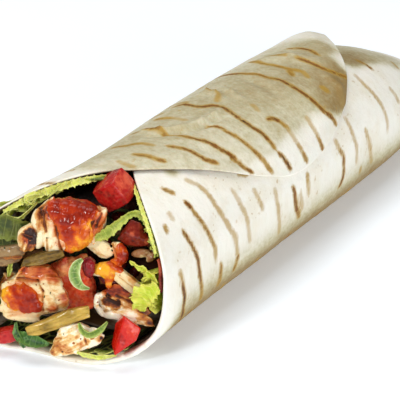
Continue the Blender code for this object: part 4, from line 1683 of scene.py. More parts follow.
def curve_through(rows: np.ndarray, count: int) -> np.ndarray:
    """A smooth curve through some rows.

    Args:
        rows: the rows.
        count: how many rows the curve has.

    Returns:
        The curve's rows.
    """
    ends = np.concatenate([[2 * rows[0] - rows[1]], rows, [2 * rows[-1] - rows[-2]]])
    place = np.linspace(0.0, len(rows) - 1.0, count)
    k = np.minimum(place.astype(int), len(rows) - 2)
    t = (place - k)[:, None]
    a, b, c, d = ends[k], ends[k + 1], ends[k + 2], ends[k + 3]
    return 0.5 * (2 * b + (c - a) * t + (2 * a - 5 * b + 4 * c - d) * t**2 + (3 * b - a - 3 * c + d) * t**3)


@dataclass(frozen=True)
class Blade:
    """A leaf's blade along a path across the mouth: rows of across, up, inward and half its width."""

    path: tuple
    tilt: float = 0.0  # how far its face turns from the mouth's plane
    cup: float = 0.35
    ruffle: float = 0.5
    waves: float = 3.0
    teeth: float = 0.3
    seed: int = 0
    rows_across: int = 19

    def mesh(self, thick: float = 0.5, step: float = 0.35) -> tuple[np.ndarray, list, np.ndarray]:
        """The blade's mesh.

        Args:
            thick: its thickness.
            step: the distance between rows of points along it.

        Returns:
            Points, faces and each point's own flat coordinates.
        """
        random = np.random.default_rng(self.seed)
        phase = random.uniform(0.0, 2.0 * math.pi, 5)
        rows = np.array(self.path, float)
        length = np.linalg.norm(np.diff(rows[:, :3], axis=0), axis=1).sum()
        columns, across = int(length / step), self.rows_across
        line = curve_through(rows, columns)
        middle = MOUTH.placed(line[:, :3])
        tangent = unit(np.gradient(middle, axis=0))
        side = unit(np.cross(-MOUTH.axes()[2], tangent))
        face = np.cross(tangent, side)
        c, d = math.cos(math.radians(self.tilt)), math.sin(math.radians(self.tilt))
        side, face = side * c + face * d, face * c - side * d
        s = np.linspace(0.0, 1.0, columns)[None, :]
        t = np.linspace(-1.0, 1.0, across)[:, None]
        edge = np.abs(t) ** 3
        run = math.pi * length * s
        jag = np.abs(np.sin(0.42 * run + phase[0])) + 0.6 * np.abs(np.sin(0.9 * run + phase[1] + t))
        width = np.maximum(line[:, 3], 0.15)[None, :] * (1.0 - self.teeth * 0.35 * edge * jag)
        wave = np.sin(2.0 * math.pi * self.waves * s + phase[2] + 0.7 * t) * np.abs(t) ** 1.5
        wave = wave + 0.4 * np.sin(2.0 * math.pi * self.waves * 2.7 * s + phase[3]) * edge
        rise = width * self.cup * (t * t - 0.4) + self.ruffle * wave * np.minimum(width, 3.0) / 2.0
        skin = middle[None] + side[None] * (t * width)[..., None] + face[None] * rise[..., None]
        half = face[None] * (thick / 2.0 * (1.0 - 0.4 * edge))[..., None]
        points = np.concatenate([(skin + half).reshape(-1, 3), (skin - half).reshape(-1, 3)])
        flat = np.stack([s * length + 0.0 * t, (1.0 - np.abs(t)) * 4.0 + 0.0 * s, 0.0 * s * t], axis=-1)
        return points, slab_faces(across, columns), np.concatenate([flat.reshape(-1, 3)] * 2) * MM


def rim_path(first: float, last: float, inset: float, setback: float, half: float, count: int = 14) -> tuple:
    """Path of a blade that runs just inside the mouth's rim.

    Args:
        first: unwound angle where it starts.
        last: unwound angle where it ends.
        inset: how far it lies in from the sheet's outer face.
        setback: how far it lies behind the rim.
        half: half its width.
        count: how many rows it has.

    Returns:
        The path's rows.
    """
    angle = np.linspace(first, last, count)
    spots = MOUTH.seen(ROLL.wall(angle, ROLL.front(angle) + setback, np.full(count, inset)))
    width = half * np.sin(np.linspace(0.15, math.pi - 0.15, count)) ** 0.5
    return tuple(map(tuple, np.column_stack([spots, width]).tolist()))


@dataclass(frozen=True)
class FreeLeaf:
    """A leaf among the pieces, of one or more blades."""

    name: str
    slot: str
    finish: CrispLeaf
    blades: tuple[Blade, ...]
    nodes: tuple[str, ...] = ()

    def build(self) -> None:
        """Makes the blades as one piece."""
        made = [blade.mesh() for blade in self.blades]
        piece = piece_of(self.name, *joined([(points, faces) for points, faces, _ in made]))
        keep(piece.data, "leaf", np.concatenate([flat for _, _, flat in made]))
        settle(piece, self.finish.material(), self.slot, *self.nodes)


def scatter_tree() -> ShapeTree:
    """The tree that strews copies of a small shape over the faces of another.

    Returns:
        The tree, with inputs for the shape, how thickly it is strewn, its sizes and how deep it sinks.
    """
    tree = ShapeTree(
        "strew", shape=Socket.OBJECT, density=Socket.NUMBER, seed=Socket.COUNT, least=Socket.NUMBER,
        most=Socket.NUMBER, facing=Socket.VECTOR, sink=Socket.NUMBER, material=Socket.MATERIAL,
    )
    normal = tree.node("GeometryNodeInputNormal")
    both = {0: normal, 1: tree.given("facing")}
    toward = tree.node("ShaderNodeVectorMath", both, output=1, operation="DOT_PRODUCT")
    spread = tree.node(
        "GeometryNodeDistributePointsOnFaces",
        {"Mesh": tree.given(), "Selection": calc("GREATER_THAN", toward, 0.15),
         "Density": tree.given("density"), "Seed": tree.given("seed")},
        distribute_method="RANDOM",
    )
    nodes = spread.socket.node
    shape = tree.node("GeometryNodeObjectInfo", {"Object": tree.given("shape")}, output="Geometry")
    spin = tree.node(
        "FunctionNodeRandomValue", {0: (0.0, 0.0, 0.0), 1: (0.5, 0.5, 6.283), "Seed": tree.given("seed")},
        data_type="FLOAT_VECTOR",
    )
    turned = tree.node(
        "FunctionNodeRotateRotation",
        {0: Term(tree, nodes.outputs["Rotation"]), 1: spin},
        rotation_space="LOCAL",
    )
    size = tree.node(
        "FunctionNodeRandomValue", {2: tree.given("least"), 3: tree.given("most"), "Seed": tree.given("seed")},
        output=1, data_type="FLOAT",
    )
    laid = tree.node(
        "GeometryNodeInstanceOnPoints",
        {"Points": spread, "Instance": shape, "Rotation": turned, "Scale": size},
    )
    down = tree.node("ShaderNodeCombineXYZ", {2: tree.given("sink") * -MM})
    sunk = tree.node("GeometryNodeTranslateInstances", {0: laid, "Translation": down, "Local Space": True})
    tree.close(sunk)
    return tree


STREW = scatter_tree()


@dataclass(frozen=True)
class Strewn:
    """Small things strewn over some finished pieces, all as one mesh."""

    name: str
    slot: str
    finish: Finish
    size: tuple[float, float, float]
    density: float  # to a square centimetre
    seed: int
    hosts: tuple[str, ...]
    least: float = 0.6
    most: float = 1.3
    sink: float = 0.1
    fine: int = 1
    reach: float = 30.0  # how far in from the mouth's centre anything is strewn
    jitter: float = 0.04

    def shape(self) -> bpy.types.Object:
        """The small shape itself, a bent and pinched ellipsoid.

        Returns:
            The object, which is in no collection.
        """
        form = bmesh.new()
        bmesh.ops.create_icosphere(form, subdivisions=self.fine, radius=0.5)
        random = np.random.default_rng(self.seed)
        for vert in form.verts:
            x, y, z = vert.co
            dent = 1.0 + 0.35 * math.sin(5.0 * x + self.seed) * math.cos(4.0 * y - self.seed)
            jolt = random.uniform(-self.jitter, self.jitter, 3)
            long, wide, thick = self.size
            bent = Vector((x * long, y * wide * dent, z * thick + 0.25 * x * x * thick))
            vert.co = (bent + Vector(jolt) * min(self.size)) * MM
        mesh = bpy.data.meshes.new(self.name + "_form")
        form.to_mesh(mesh)
        form.free()
        return bpy.data.objects.new(self.name + "_form", mesh)

    def build(self) -> None:
        """Strews the shape over the hosts and keeps only what was strewn."""
        parts = []
        for host in self.hosts:
            mesh = bpy.data.objects[host].data
            points = points_of(mesh)
            deep = MOUTH.seen(points)[:, 2]
            faces = [tuple(f.vertices) for f in mesh.polygons]
            parts.append((points, [f for f in faces if deep[f[0]] < self.reach]))
        piece = piece_of(self.name, *joined(parts))
        form = self.shape()
        material = self.finish.material()
        STREW.run(
            piece, shape=form, density=self.density * 1e4, seed=self.seed, least=self.least, most=self.most,
            facing=(-MOUTH.axes()[2]).tolist(), sink=self.sink, material=material,
        )
        bpy.data.objects.remove(form)
        settle(piece, material, self.slot)


# finishes of the leaves: frill, blade, base and vein
PALE_LEAF = CrispLeaf("pale_leaf", tone(224, 226, 116), tone(176, 186, 54), tone(84, 100, 20),
                      tone(226, 228, 150))
# painted shade: the base leaf's inner tone is near black and reached a few millimetres in
BASE_LEAF = CrispLeaf("base_leaf", tone(210, 218, 120), tone(110, 128, 44), tone(10, 16, 5),
                      tone(150, 164, 80), steep=260)
ONION_LEAF = CrispLeaf("onion_leaf", tone(222, 230, 172), tone(150, 176, 92), tone(92, 124, 50),
                       tone(200, 214, 140), steep=240)
BOW_LEAF = CrispLeaf("bow_leaf", tone(186, 200, 104), tone(118, 142, 48), tone(96, 122, 38),
                     tone(160, 180, 90), steep=240)
FRILL_LEAF = CrispLeaf("frill_leaf", tone(236, 236, 130), tone(206, 212, 84), tone(150, 164, 40),
                       tone(240, 238, 170))
LIME_LEAF = CrispLeaf("lime_leaf", tone(226, 222, 96), tone(180, 196, 34), tone(112, 132, 16),
                      tone(220, 224, 104))
GREEN_LEAF = CrispLeaf("green_leaf", tone(200, 206, 96), tone(132, 148, 38), tone(62, 78, 16),
                       tone(196, 206, 104))
# painted shade: a darkened lettuce for the leaf that lies in shadow at the left
DARK_LEAF = CrispLeaf("dark_leaf", tone(120, 128, 50), tone(58, 70, 22), tone(16, 24, 8), tone(140, 150, 74))
EMERALD_LEAF = CrispLeaf("emerald_leaf", tone(92, 130, 56), tone(18, 68, 28), tone(6, 30, 12),
                         tone(130, 172, 96))

# finishes of the vegetables
RED_TOMATO = WetTomato("red_tomato", tone(178, 18, 22), tone(228, 96, 66), tone(120, 4, 14))
BRIGHT_TOMATO = WetTomato("bright_tomato", tone(198, 20, 8), tone(220, 62, 28), tone(150, 8, 6))
# painted shade: a darkened tomato for the dark piece and the rind, which lie in shadow
DEEP_TOMATO = WetTomato("deep_tomato", tone(112, 22, 12), tone(190, 86, 54), tone(46, 6, 4), 4)
TOMATO_PULP = WetTomato("tomato_pulp", tone(214, 66, 34), tone(252, 172, 104), tone(140, 18, 16), 4.5)
TAN_SKIN = WetTomato("tan_skin", tone(150, 92, 50), tone(222, 192, 142), tone(80, 34, 16), 3)
PEPPER = MoistStrip("pepper_skin", tone(204, 168, 76), tone(152, 120, 42), tone(88, 66, 18), MOUTH.along(22))
SEEDY_TOMATO = WetTomato("seedy_tomato", tone(132, 12, 20), tone(196, 60, 54), tone(60, 2, 8), 3)


class Assembly:
    """Pieces that are held as fields and built in their order."""

    def build(self) -> None:
        """Builds every piece."""
        for part in fields(self):
            getattr(self, part.name).build()


@dataclass(frozen=True)
class Lettuce(Assembly):
    """All of the lettuce at the mouth: the leaves against the wall, then those among the pieces."""

    upper: WallLeaf = WallLeaf(
        "lettuce_upper", PALE_LEAF, first=86, last=156, setback=-0.6, length=24, inset=2, curl=1.2,
        ruffles=5.2, depth=0.9, swing=1.1, seed=3, layers=2, late=2.6,
    )
    far: WallLeaf = WallLeaf(
        "lettuce_far", PALE_LEAF, first=150, last=226, setback=-0.2, length=22, inset=3, curl=2.6,
        ruffles=5.3, depth=1.2, swing=1.3, seed=4, layers=2,
    )
    base: WallLeaf = WallLeaf(
        "lettuce_base", BASE_LEAF, first=238, last=304, setback=1.9, length=18, inset=3.2, curl=0.5,
        ruffles=5, depth=0.35, swing=0.5, seed=5,
    )
    frill: WallLeaf = WallLeaf(
        "lettuce_frill", LIME_LEAF, first=349, last=371, setback=-1, length=16, inset=3.6, curl=6,
        ruffles=2.3, depth=1.3, swing=1.2, seed=6, layers=2,
    )
    rim: WallLeaf = WallLeaf(
        "lettuce_rim", GREEN_LEAF, first=383, last=438, setback=-0.2, length=16, inset=2.6, curl=1,
        ruffles=3.1, depth=0.7, swing=0.8, seed=7, layers=2,
    )
    rim_frills: FreeLeaf = FreeLeaf(
        "rim_frills", "lettuce", FRILL_LEAF,
        (Blade(rim_path(87, 136, 2.9, -0.7, 1.9), 12, 0.35, 0.75, 8, 1, 51),
         Blade(((-19.5, 19.2, 11, 0.5), (-18.4, 17.4, 10.6, 0.8), (-16.3, 16.6, 10.4, 0.9),
                (-13.9, 17.1, 10.6, 0.8), (-11.7, 19, 11.4, 0.7), (-9.1, 22, 13, 0.4)), 40, 0.5, 0.6, 3, 0.8,
               52),
         Blade(((-7.7, 24.6, 13.4, 0.3), (-9.8, 25.2, 12.8, 0.7), (-12.1, 24.2, 12, 0.8),
                (-12.4, 22.6, 11.6, 0.8), (-10.7, 21.7, 11.8, 0.6), (-9.4, 23.2, 12.6, 0.3)), 35, 0.5, 0.5, 2,
               0.6, 53),
         Blade(((0, 28.4, 17.6, 0.25), (-3, 25.8, 16.8, 0.35), (-6, 23, 16, 0.25)), 0, 0.3, 0.2, 1, 0, 54),
         Blade(rim_path(386, 441, 2, -0.5, 1), 10, 0.4, 0.7, 6, 0.9, 55),
         Blade(rim_path(384, 424, 4, 1.5, 0.8), -20, 0.4, 0.7, 4, 0.9, 56)),
    )
    upper_fill: FreeLeaf = FreeLeaf(
        "upper_fill", "lettuce", GREEN_LEAF,
        (Blade(((-22, 20, 14, 1), (-15.5, 20.4, 14.5, 2.4), (-8.5, 23, 16.5, 2), (-3, 26, 18.5, 0.6)), 0, 0.5,
               0.5, 2, 0.4, 57),),
    )
    arch_leaf: FreeLeaf = FreeLeaf(
        "arch_leaf", "lettuce", GREEN_LEAF,
        (Blade(((10.4, 12.2, 6.5, 0.15), (13, 13.4, 7, 1.7), (16.4, 15.2, 8, 2.7), (20, 18.4, 10, 1.9),
                (23.5, 20.8, 12, 1.3), (27.2, 19.8, 12, 2), (30.6, 15.8, 10.5, 2.2), (33, 10.6, 9.5, 1.5),
                (34.2, 7.4, 8.5, 0.5)), 15, 0.5, 0.55, 2.6, 0.7, 1),),
        ("lettuce_arch",),
    )
    frill_lobes: FreeLeaf = FreeLeaf(
        "frill_lobes", "lettuce", LIME_LEAF,
        (Blade(((24, 6.2, 6, 0.4), (26, 5.2, 5, 1.3), (28.8, 4.2, 4.5, 1.6), (31.2, 2.6, 4, 1.8),
                (33.8, 0.2, 3.4, 1)), 35, 0.3, 0.8, 3, 0.6, 12),
         Blade(((34, -0.6, 3, 2), (31.4, -2.6, 2.4, 4.8), (29.2, -5, 3, 5.6), (28.6, -8, 4, 4.2),
                (28.6, -10.8, 5, 1)), -8, 0.3, 0.75, 3.2, 0.8, 13)),
    )
    fold_leaf: FreeLeaf = FreeLeaf(
        "fold_leaf", "dark_lettuce", EMERALD_LEAF,
        (Blade(((-13.6, -17, 2, 0.5), (-12.8, -19.8, 0.2, 1.5), (-11.2, -22.4, -1, 1.5),
                (-9.8, -24.6, -1.2, 0.5)), 30, 0.6, 0.4, 1.5, 0.2, 2),
         Blade(((-13, -20.2, 0, 0.8), (-9.6, -21.2, -1.4, 2.3), (-5.4, -22, -2, 2.1), (-1.4, -22.4, -2, 0.5)),
               -25, 0.7, 0.5, 2, 0.2, 21)),
        ("lettuce_fold",),
    )
    # painted shade: a leaf in shadow, in the darkened lettuce finish
    dark_leaf: FreeLeaf = FreeLeaf(
        "dark_leaf", "dark_lettuce", DARK_LEAF,
        (Blade(((-27, 17, 7, 2), (-22, 15.6, 7, 4.6), (-16.5, 14.4, 7.5, 5.2), (-12, 14, 9, 3.6),
                (-9, 14.6, 10, 0.8)), 10, 0.5, 0.5, 2, 0.3, 3),
         Blade(((-28, 9, 9, 2), (-22, 8, 9, 3.4), (-16, 8, 9.5, 3), (-11, 7.5, 10, 0.8)), -15, 0.4, 0.5, 2,
               0.3, 31)),
        ("lettuce_dark",),
    )
    green_shreds: FreeLeaf = FreeLeaf(
        "green_shreds", "lettuce", GREEN_LEAF,
        (Blade(((-17.5, -3, 7, 0.3), (-17, -0.5, 6.8, 1), (-16.8, 1.6, 7, 0.9), (-17.4, 3.6, 7.4, 0.3)), 40,
               0.5, 0.5, 1.5, 0.4, 41),),
    )
    base_shred: FreeLeaf = FreeLeaf(
        "base_shred", "lettuce", PALE_LEAF,
        (Blade(((7, -23.6, -2.8, 0.3), (12, -24.9, -3, 1.1), (17, -25.1, -2.6, 1), (21.4, -24.4, -1.8, 0.3)),
               20, 0.4, 0.4, 2.5, 0.4, 42),),
    )


@dataclass(frozen=True)
class Vegetables(Assembly):
    """Tomato, pickled pepper and spring onion."""

    cube: Morsel = cut(
        "tomato_cube", "tomato", RED_TOMATO, shift=(0.4, 1.5, 0),
        # painted highlight: the pale spots along the cube's top
        pale=((20.6, 30.6, 19, 4.5), (19.4, 33, 19, 3.6, 0.9), (22.4, 28, 18, 3.4, 0.5)),
    )
    wedge: Morsel = cut(
        "tomato_wedge", "tomato", BRIGHT_TOMATO, voxel=0.33, lump=0.35,
        corners=((24, -9.8, -3.2), (21.2, -23.6, -5.2), (29.4, -14.6, -1), (28.2, -18.4, -2.4),
                 (20.2, -14.6, 1.5), (19.2, -21.8, 0.5), (26.8, -16, 6), (22, -23, 5), (21.6, -13, 6.5)),
        pale=((26.6, -15.6, -2.6, 3.2, 0.5),),
    )
    corner: Morsel = cut("tomato_corner", "tomato", RED_TOMATO, lump=0.6)
    dark: Morsel = cut(
        "tomato_dark", "tomato", DEEP_TOMATO, soften=2, lump=0.3, lump_size=4, fibre=0.1, fibre_size=1.4,
        corners=((18.6, 11.6, 11), (19.9, 14.3, 11), (23.1, 19, 11.4), (26.2, 18.2, 11.2), (28, 15, 10.8),
                 (30, 12.7, 10.4), (29.4, 10.4, 10.4), (26.2, 9.7, 10.4), (21.8, 9.8, 10.8),
                 (21.8, 15.4, 8.8), (26.4, 13.8, 8.4), (22, 13, 17), (27.6, 14, 17)),
        pale=((24.2, 14.6, 8.6, 1.2, 0.8), (29, 12, 9.6, 1.2), (26.6, 10.8, 9.6, 2, 0.5)),
    )
    bit: Morsel = cut(
        "tomato_bit", "tomato", TAN_SKIN, lump=0.8, lump_size=3.5, fibre=0.25, fibre_size=1.4,
        lobes=((27, 7.8, 10, 7, 3, 3.4, 12), (30.6, 6.8, 9.8, 5, 2.6, 3, 50)),
        pale=((27.8, 6.4, 9, 1.6), (30, 8.8, 9, 1.4, 0.6)),
    )
    rind: Morsel = cut(
        "tomato_rind", "tomato", DEEP_TOMATO, voxel=0.33, soften=2, lump=0.3, lump_size=4, fibre=0.1,
        fibre_size=1.4, pale=((34.6, 6, 5, 4, 0.7),),
    )
    pulp: Morsel = cut(
        "tomato_slice", "tomato_flesh", TOMATO_PULP, voxel=0.38, soften=4, lump=1.4, lump_size=4, fibre=0.4,
        fibre_size=1.4, grain=70, flakes=10, flake=(8, 2.6, 1.4), shift=(0, 0.8, -4),
        pale=((1, 1, 11, 4.5, 0.9), (4, 4.6, 11, 4, 0.9), (9, 4, 11, 3, 0.6)),
    )
    pepper_long: Morsel = cut(
        "pepper_long", "pickled_pepper", PEPPER, voxel=0.33, lump=0.7, lump_size=6, fibre=0.25,
        fibre_size=1.4, grain=24,
        boards=((((-9.6, -17.2), (-8.8, -19.6), (-5, -19.6), (3, -15.8), (12.6, -11.6), (12.2, -7.4),
                  (5, -9.6), (-1, -12.6)), -3.2, 3.6, 0.7),),
        creases=((-6, -18.4, 11.6, -10.4, 0.5, 0.5),),
        pale=((-6, -18.4, -2.8, 3.4, 0.5), (10, -10.2, -2.6, 3, 0.6), (2, -14.6, -3.4, 3.4, 0.4)),
    )
    pepper_short: Morsel = cut(
        "pepper_short", "pickled_pepper",
        MoistStrip(
            "pepper_skin_low", tone(164, 132, 62), tone(118, 90, 32), tone(62, 44, 12), MOUTH.along(18),
        ),
        voxel=0.33, lump=0.7, lump_size=6, fibre=0.25, fibre_size=1.4, grain=20,
        corners=((-12.4, 2.2, 2.6), (-11.4, 5.4, 2.6), (-5.7, 8.4, 1.2), (-4.2, 4.2, 1.2), (1.8, 9.6, 2.2),
                 (2.8, 7.4, 2.4), (-12, 2.8, 5), (1.6, 8.2, 5), (-4.6, 4.6, 4.8), (-5.6, 7.8, 4.8)),
        creases=((-11, 3.6, 2, 8.4, 0.4, 0.5),),
    )
    curl_ring: FreeLeaf = FreeLeaf(
        "curl_ring", "spring_onion", ONION_LEAF,
        (Blade(((8.9, 7.4, 1.2, 0.6), (7.2, 5.8, 0.6, 1.5), (6.4, 3, 0.2, 1.9), (7, 0.2, 0.2, 1.8),
                (8.8, -2, 0.6, 1.2), (11.4, -2.9, 1.4, 0.3)), -18, 0.7, 0.15, 1, 0, 61),),
        ("onion_curl",),
    )
    bow_ring: FreeLeaf = FreeLeaf(
        "bow_ring", "spring_onion", BOW_LEAF,
        (Blade(((9.4, -12.6, -5.2, 0.5), (10.4, -14.6, -5.8, 1.1), (11.9, -15.6, -6, 1.35),
                (13.6, -15.8, -6.2, 1.35), (15.4, -14.9, -6.2, 1.2), (17, -13.6, -6, 1),
                (18.8, -11.4, -5.4, 0.3)), 25, 0.7, 0.15, 1, 0, 62),),
        ("onion_bow",),
    )
    seeds: Morsel = cut(
        "tomato_seeds", "tomato", SEEDY_TOMATO, voxel=0.33, lump=0.4, lump_size=4, fibre=0.1, stands=False,
        boards=((((8.6, 6.4), (10.6, 7.4), (12.6, 5.6), (12.8, 2.4), (11.4, -0.4), (9.4, 0.6), (8.2, 3.4)),
                 2.4, 4, 1.2),),
    )
    gel: Morsel = cut(
        "tomato_gel", "tomato",
        replace(SEEDY_TOMATO, name="gel_tomato", flesh=tone(84, 12, 14)), lump=0.6, lump_size=4, fibre=0.1,
        stands=False,
        boards=((((11.4, 0.6), (15.4, 0.6), (19.4, -2.4), (19, -5), (14.6, -3.4)), 7.4, 3, 0.8),
                (((18.4, -0.2), (24, -4.2), (28.6, -7.6), (24, -7.4), (18, -4.4)), 8.4, 3, 0.8)),
    )


@dataclass(frozen=True)
class Chicken:
    """All of the chicken at the mouth, with the sauce on it."""

    sauced: Morsel = meat(
        "chicken_sauced", 78, "sauced_chicken", flesh=tone(244, 226, 184), flakes=22,
        lobes=((-7.4, 18.6, 5.2, 8, 3.6, 4.5, 82), (-5.8, 12.4, 4.4, 9, 3.8, 4.5, 75),
               (-2.4, 11, 4.2, 8, 4.2, 4, 85), (0.4, 12, 4.4, 7.5, 3.4, 4, 95),
               (14.2, 20.6, 5.6, 8, 2.8, 4, 62), (11.6, 19, 5, 9, 2.6, 3.4, 66)),
        creases=((-5.3, 21, -4, 15, 0.6, 1.2), (-1.2, 19.2, 1.2, 9, 0.55, 1.3),
                 (12.6, 22.6, 10.4, 16, 0.6, 1.2), (14.6, 22.4, 12.6, 17.4, 0.4, 0.8),
                 (-3.4, 13, -3.4, 7.4, 0.4, 0.8)),
        sear=((-5.6, 21, 5.4, 3), (-3, 22, 5.6, 3), (-5, 17.4, 4.6, 2, 0.8), (12, 20, 4.6, 3.4),
              (10.6, 16.4, 4.6, 2.4, 0.9), (0.2, 15, 3.4, 2, 0.7), (2, 27, 6, 4, 0.8),
              (14.6, 20.4, 5.6, 3, 0.95)),
        stain=((6, 18, 4, 9.5, 1.2), (11.5, 17, 4, 5), (14.8, 20, 5.6, 4, 1.2), (1.4, 12, 4, 3.4, 0.7),
               (-2, 22, 5, 4.4, 0.9)),
        coat=SauceCoat(
            "sauce_top", "sauced_chicken",
            body=((-0.4, 23, 5, 3.8), (3, 24, 5.6, 4.8), (7.4, 24.6, 6.4, 4.8), (3.2, 19.6, 4, 4.8),
                  (7, 19.6, 4.4, 4.6), (4.6, 15.6, 3.4, 4.4), (8, 15.2, 3.8, 4), (6, 11.2, 3.4, 3.8),
                  (10.4, 22.6, 6, 3), (8.2, 11.4, 4, 3), (4.6, 9, 3.4, 2.4, 0.8), (7, 8.6, 3.8, 2.2, 0.8),
                  (1.2, 26.4, 6.6, 3)),
            warm=((7.6, 10.4, 4, 4.4, 1.1), (8.4, 14, 3.6, 3.8, 0.9), (9.6, 17.8, 4.6, 3, 0.7),
                  (6.2, 17.4, 4, 2, 0.5), (3, 25, 6, 2.6, 0.3)),
            thick=1.2, bias=0.28,
        ),
    )
    large: Morsel = meat(
        "chicken_large", 8, flakes=10, flake=(8, 3, 1.2), soften=4, lump=1.2,
        boards=((((-19.5, -5), (-14, -2), (-8, -0.6), (-3, -0.6), (0.4, -3), (2.4, -5.4), (4.2, -9.1),
                  (3, -12.4), (-6.4, -15), (-12.7, -17.4), (-19.5, -15)), 2.6, 6, 1.8),
                (((-14, -1.4), (-12.8, 0.6), (-8.5, 2.6), (-3.2, 2.6), (-0.4, 0), (1.8, -3.8), (-1, -4.4),
                  (-6, -2)), 4.2, 4, 0.8)),
        lobes=((-2.6, -8.4, 3, 9, 4.6, 3, -62), (-12, -15.6, 3.4, 14, 3.4, 3.4, -4)),
        creases=((-13.6, -2.2, -6.8, -2.6, 0.6, 1.2), (-6.8, -2.6, -4.6, -5.6, 0.6, 1.1),
                 (-4.6, -5.6, -4.8, -12.6, 0.5, 0.7)),
        sear=((-13, 0, 5, 3, 0.5), (-5, 2, 5.4, 3.4, 0.45), (-1.8, 0.4, 5.4, 3.4, 0.7),
              (-1.3, -11.4, 2.4, 2.4, 0.7), (2.4, -7.4, 3.4, 2, 0.5), (2, -11, 2.8, 2, 0.5),
              (-5.4, -12.6, 1.8, 1.6, 0.4)),
        stain=((-8, 1.4, 5, 6, 1.2), (-12, -8.6, 1.6, 7, 1.1), (-1.6, 0, 4.6, 3.8), (3, -8, 3.7, 3.4, 0.8),
               (-1, -11.6, 2.4, 2.6, 0.9)),
        coat=SauceCoat(
            "sauce_blob", "chicken",
            body=((-16.4, -8.4, 1.6, 3.4), (-14, -6.8, 1.6, 3.2), (-11, -6.6, 1.6, 3.4),
                  (-8.8, -8.2, 1.6, 3.2), (-7, -11, 1.6, 2.6), (-10.6, -11, 1.4, 3.4),
                  (-14.4, -10.6, 1.6, 3.2)),
            warm=((-17.4, -8, 2, 3.4), (-15, -12, 1.6, 2.8, 0.7), (-12, -5.4, 2, 2, 0.4)), thick=1.7,
            bias=0.3,
        ),
    )
    strip: Morsel = meat(
        "chicken_strip", -38, "sauced_chicken", flakes=0, lump=0.7, fibre=0.3, soften=3,
        boards=((((10.2, 0.4), (11.4, 2.4), (13, 4), (17.7, 5.2), (19.6, 3.6), (17.8, -0.4), (13.6, 0.4)),
                 4.8, 3.2),
                (((17, 4), (20.4, 3.4), (24.6, 0.4), (28.2, -2.4), (28.8, -5.4), (25.8, -6.4), (18.7, -1.2),
                  (16.4, 1)), 5.4, 3.4),
                (((15.6, 0.4), (18, 0), (18, -3), (16.9, -4.8), (15.9, -3)), 5.6, 2.2)),
        creases=((17.4, 2.6, 25.6, -3.4, 0.4, 0.5),),
        stain=((15, 3.6, 5.5, 4), (19, 4, 6, 3.4, 0.9), (16.8, -1.6, 5, 3)), sear=((25.6, 0.4, 6, 2.4, 0.5),),
        coat=SauceCoat(
            "sauce_gold", "sauced_chicken",
            body=((14.2, 3.6, 4.8, 3), (17.4, 4.4, 5.2, 3.4), (20, 5, 6.4, 3.4), (16.4, 1.6, 4.8, 2.8),
                  (16.8, -1.2, 5, 2.2, 0.9), (16.9, -3.6, 5.2, 1.8, 0.9)),
            warm=((14.4, 3, 5, 4, 1.6), (16.6, 2.4, 5, 3, 1.3), (18.4, 4.6, 5.4, 2.4, 0.6),
                  (16.8, -2.6, 5, 2.6, 0.7)),
            thick=0.5, bias=0.28,
        ),
    )
    plank: Morsel = meat(
        "chicken_plank", -26, flesh=tone(244, 226, 178), flakes=0, lump=0.6, fibre=0.3, soften=3,
        boards=((((5.6, 11.2), (9.2, 13), (13.5, 12), (16.6, 10.2), (17.6, 6.4), (15.6, 5), (13.4, 5.4),
                  (9.3, 8.6)), 8.4, 3, 0.5),
                (((17, 11.4), (20, 11.6), (22.6, 8.6), (22.6, 4.6), (19.6, 3.2), (18.4, 5.2), (20, 7),
                  (18, 9.4)), 8, 2.6, 0.8),
                (((16.8, 5.4), (20, 5.8), (21, 3.2), (17.4, 2.8)), 6.6, 2.6, 0.5)),
        creases=((17.2, 11, 19, 7.4, 0.4, 0.6),), stain=((21, 7.4, 8.6, 4.2, 1.2), (19, 4.4, 7.4, 3)),
        sear=((17.4, 10.2, 9, 1.8, 0.6), (16.6, 5.4, 8.4, 1.2, 0.5)),
        coat=SauceCoat(
            "sauce_plank", "chicken",
            body=((20.8, 9.6, 8.6, 2), (21.4, 7.4, 8.4, 2.4), (21.4, 5.4, 8.2, 2.6), (20, 4.2, 7.4, 2.6),
                  (18.2, 4.2, 6.8, 2.4)),
            warm=((20.2, 4.4, 7.6, 2, 0.4), (18, 4.4, 7, 2.2, 0.8), (20.8, 9.4, 9, 1.8, 0.5)), thick=0.35,
        ),
    )
    curl: Morsel = meat(
        "chicken_curl", -14, flesh=tone(255, 244, 218), tan=tone(230, 188, 124), flakes=6,
        flake=(6, 1.6, 0.9), lump=0.9, fibre=0.4,
        boards=((((14.6, -5.6), (18.6, -2.6), (23.1, -2.8), (27.3, -6.2), (31.6, -12.2), (28.6, -13.4),
                  (22.6, -9.2), (18, -8)), 6.2, 3.4),
                (((14.4, -13.2), (17, -14.8), (22.5, -13.2), (28.6, -14.4), (32.8, -16.6), (32, -13.8),
                  (27.8, -11.6), (22.3, -10.8), (17.3, -12)), 5.4, 2.8),
                (((12.8, -6.4), (19.4, -6.4), (23, -10.6), (21, -13), (14, -13)), 7.4, 2.4, 0.2)),
        lobes=((13, -8.8, 5.6, 6.4, 1.9, 2.8, 88), (14.2, -12, 5.4, 5.2, 1.9, 2.8, -52),
               (14.6, -6.3, 5.8, 4, 1.7, 2.6, 32)),
        creases=((19.6, -6.6, 28, -9.6, 0.45, 0.7),),
        sear=((20.6, -6.4, 6.4, 4), (24.6, -7.6, 6.4, 4, 0.95), (29, -11.6, 6.4, 3.4), (17.8, -5.2, 6.8, 3),
              (22.6, -4, 6.6, 3), (31.6, -14.4, 5.6, 2.4, 0.9)),
        stain=((18, -4.4, 6.6, 3.6, 1.2), (22.4, -4, 6.6, 3.6)),
        char=((16.4, -9.2, 8, 2.6, 0.9), (19, -10.2, 8, 2.6, 0.9), (16.8, -7, 7.6, 1.8, 0.8),
              (20.4, -8.4, 7.4, 1.4, 0.8)),
    )
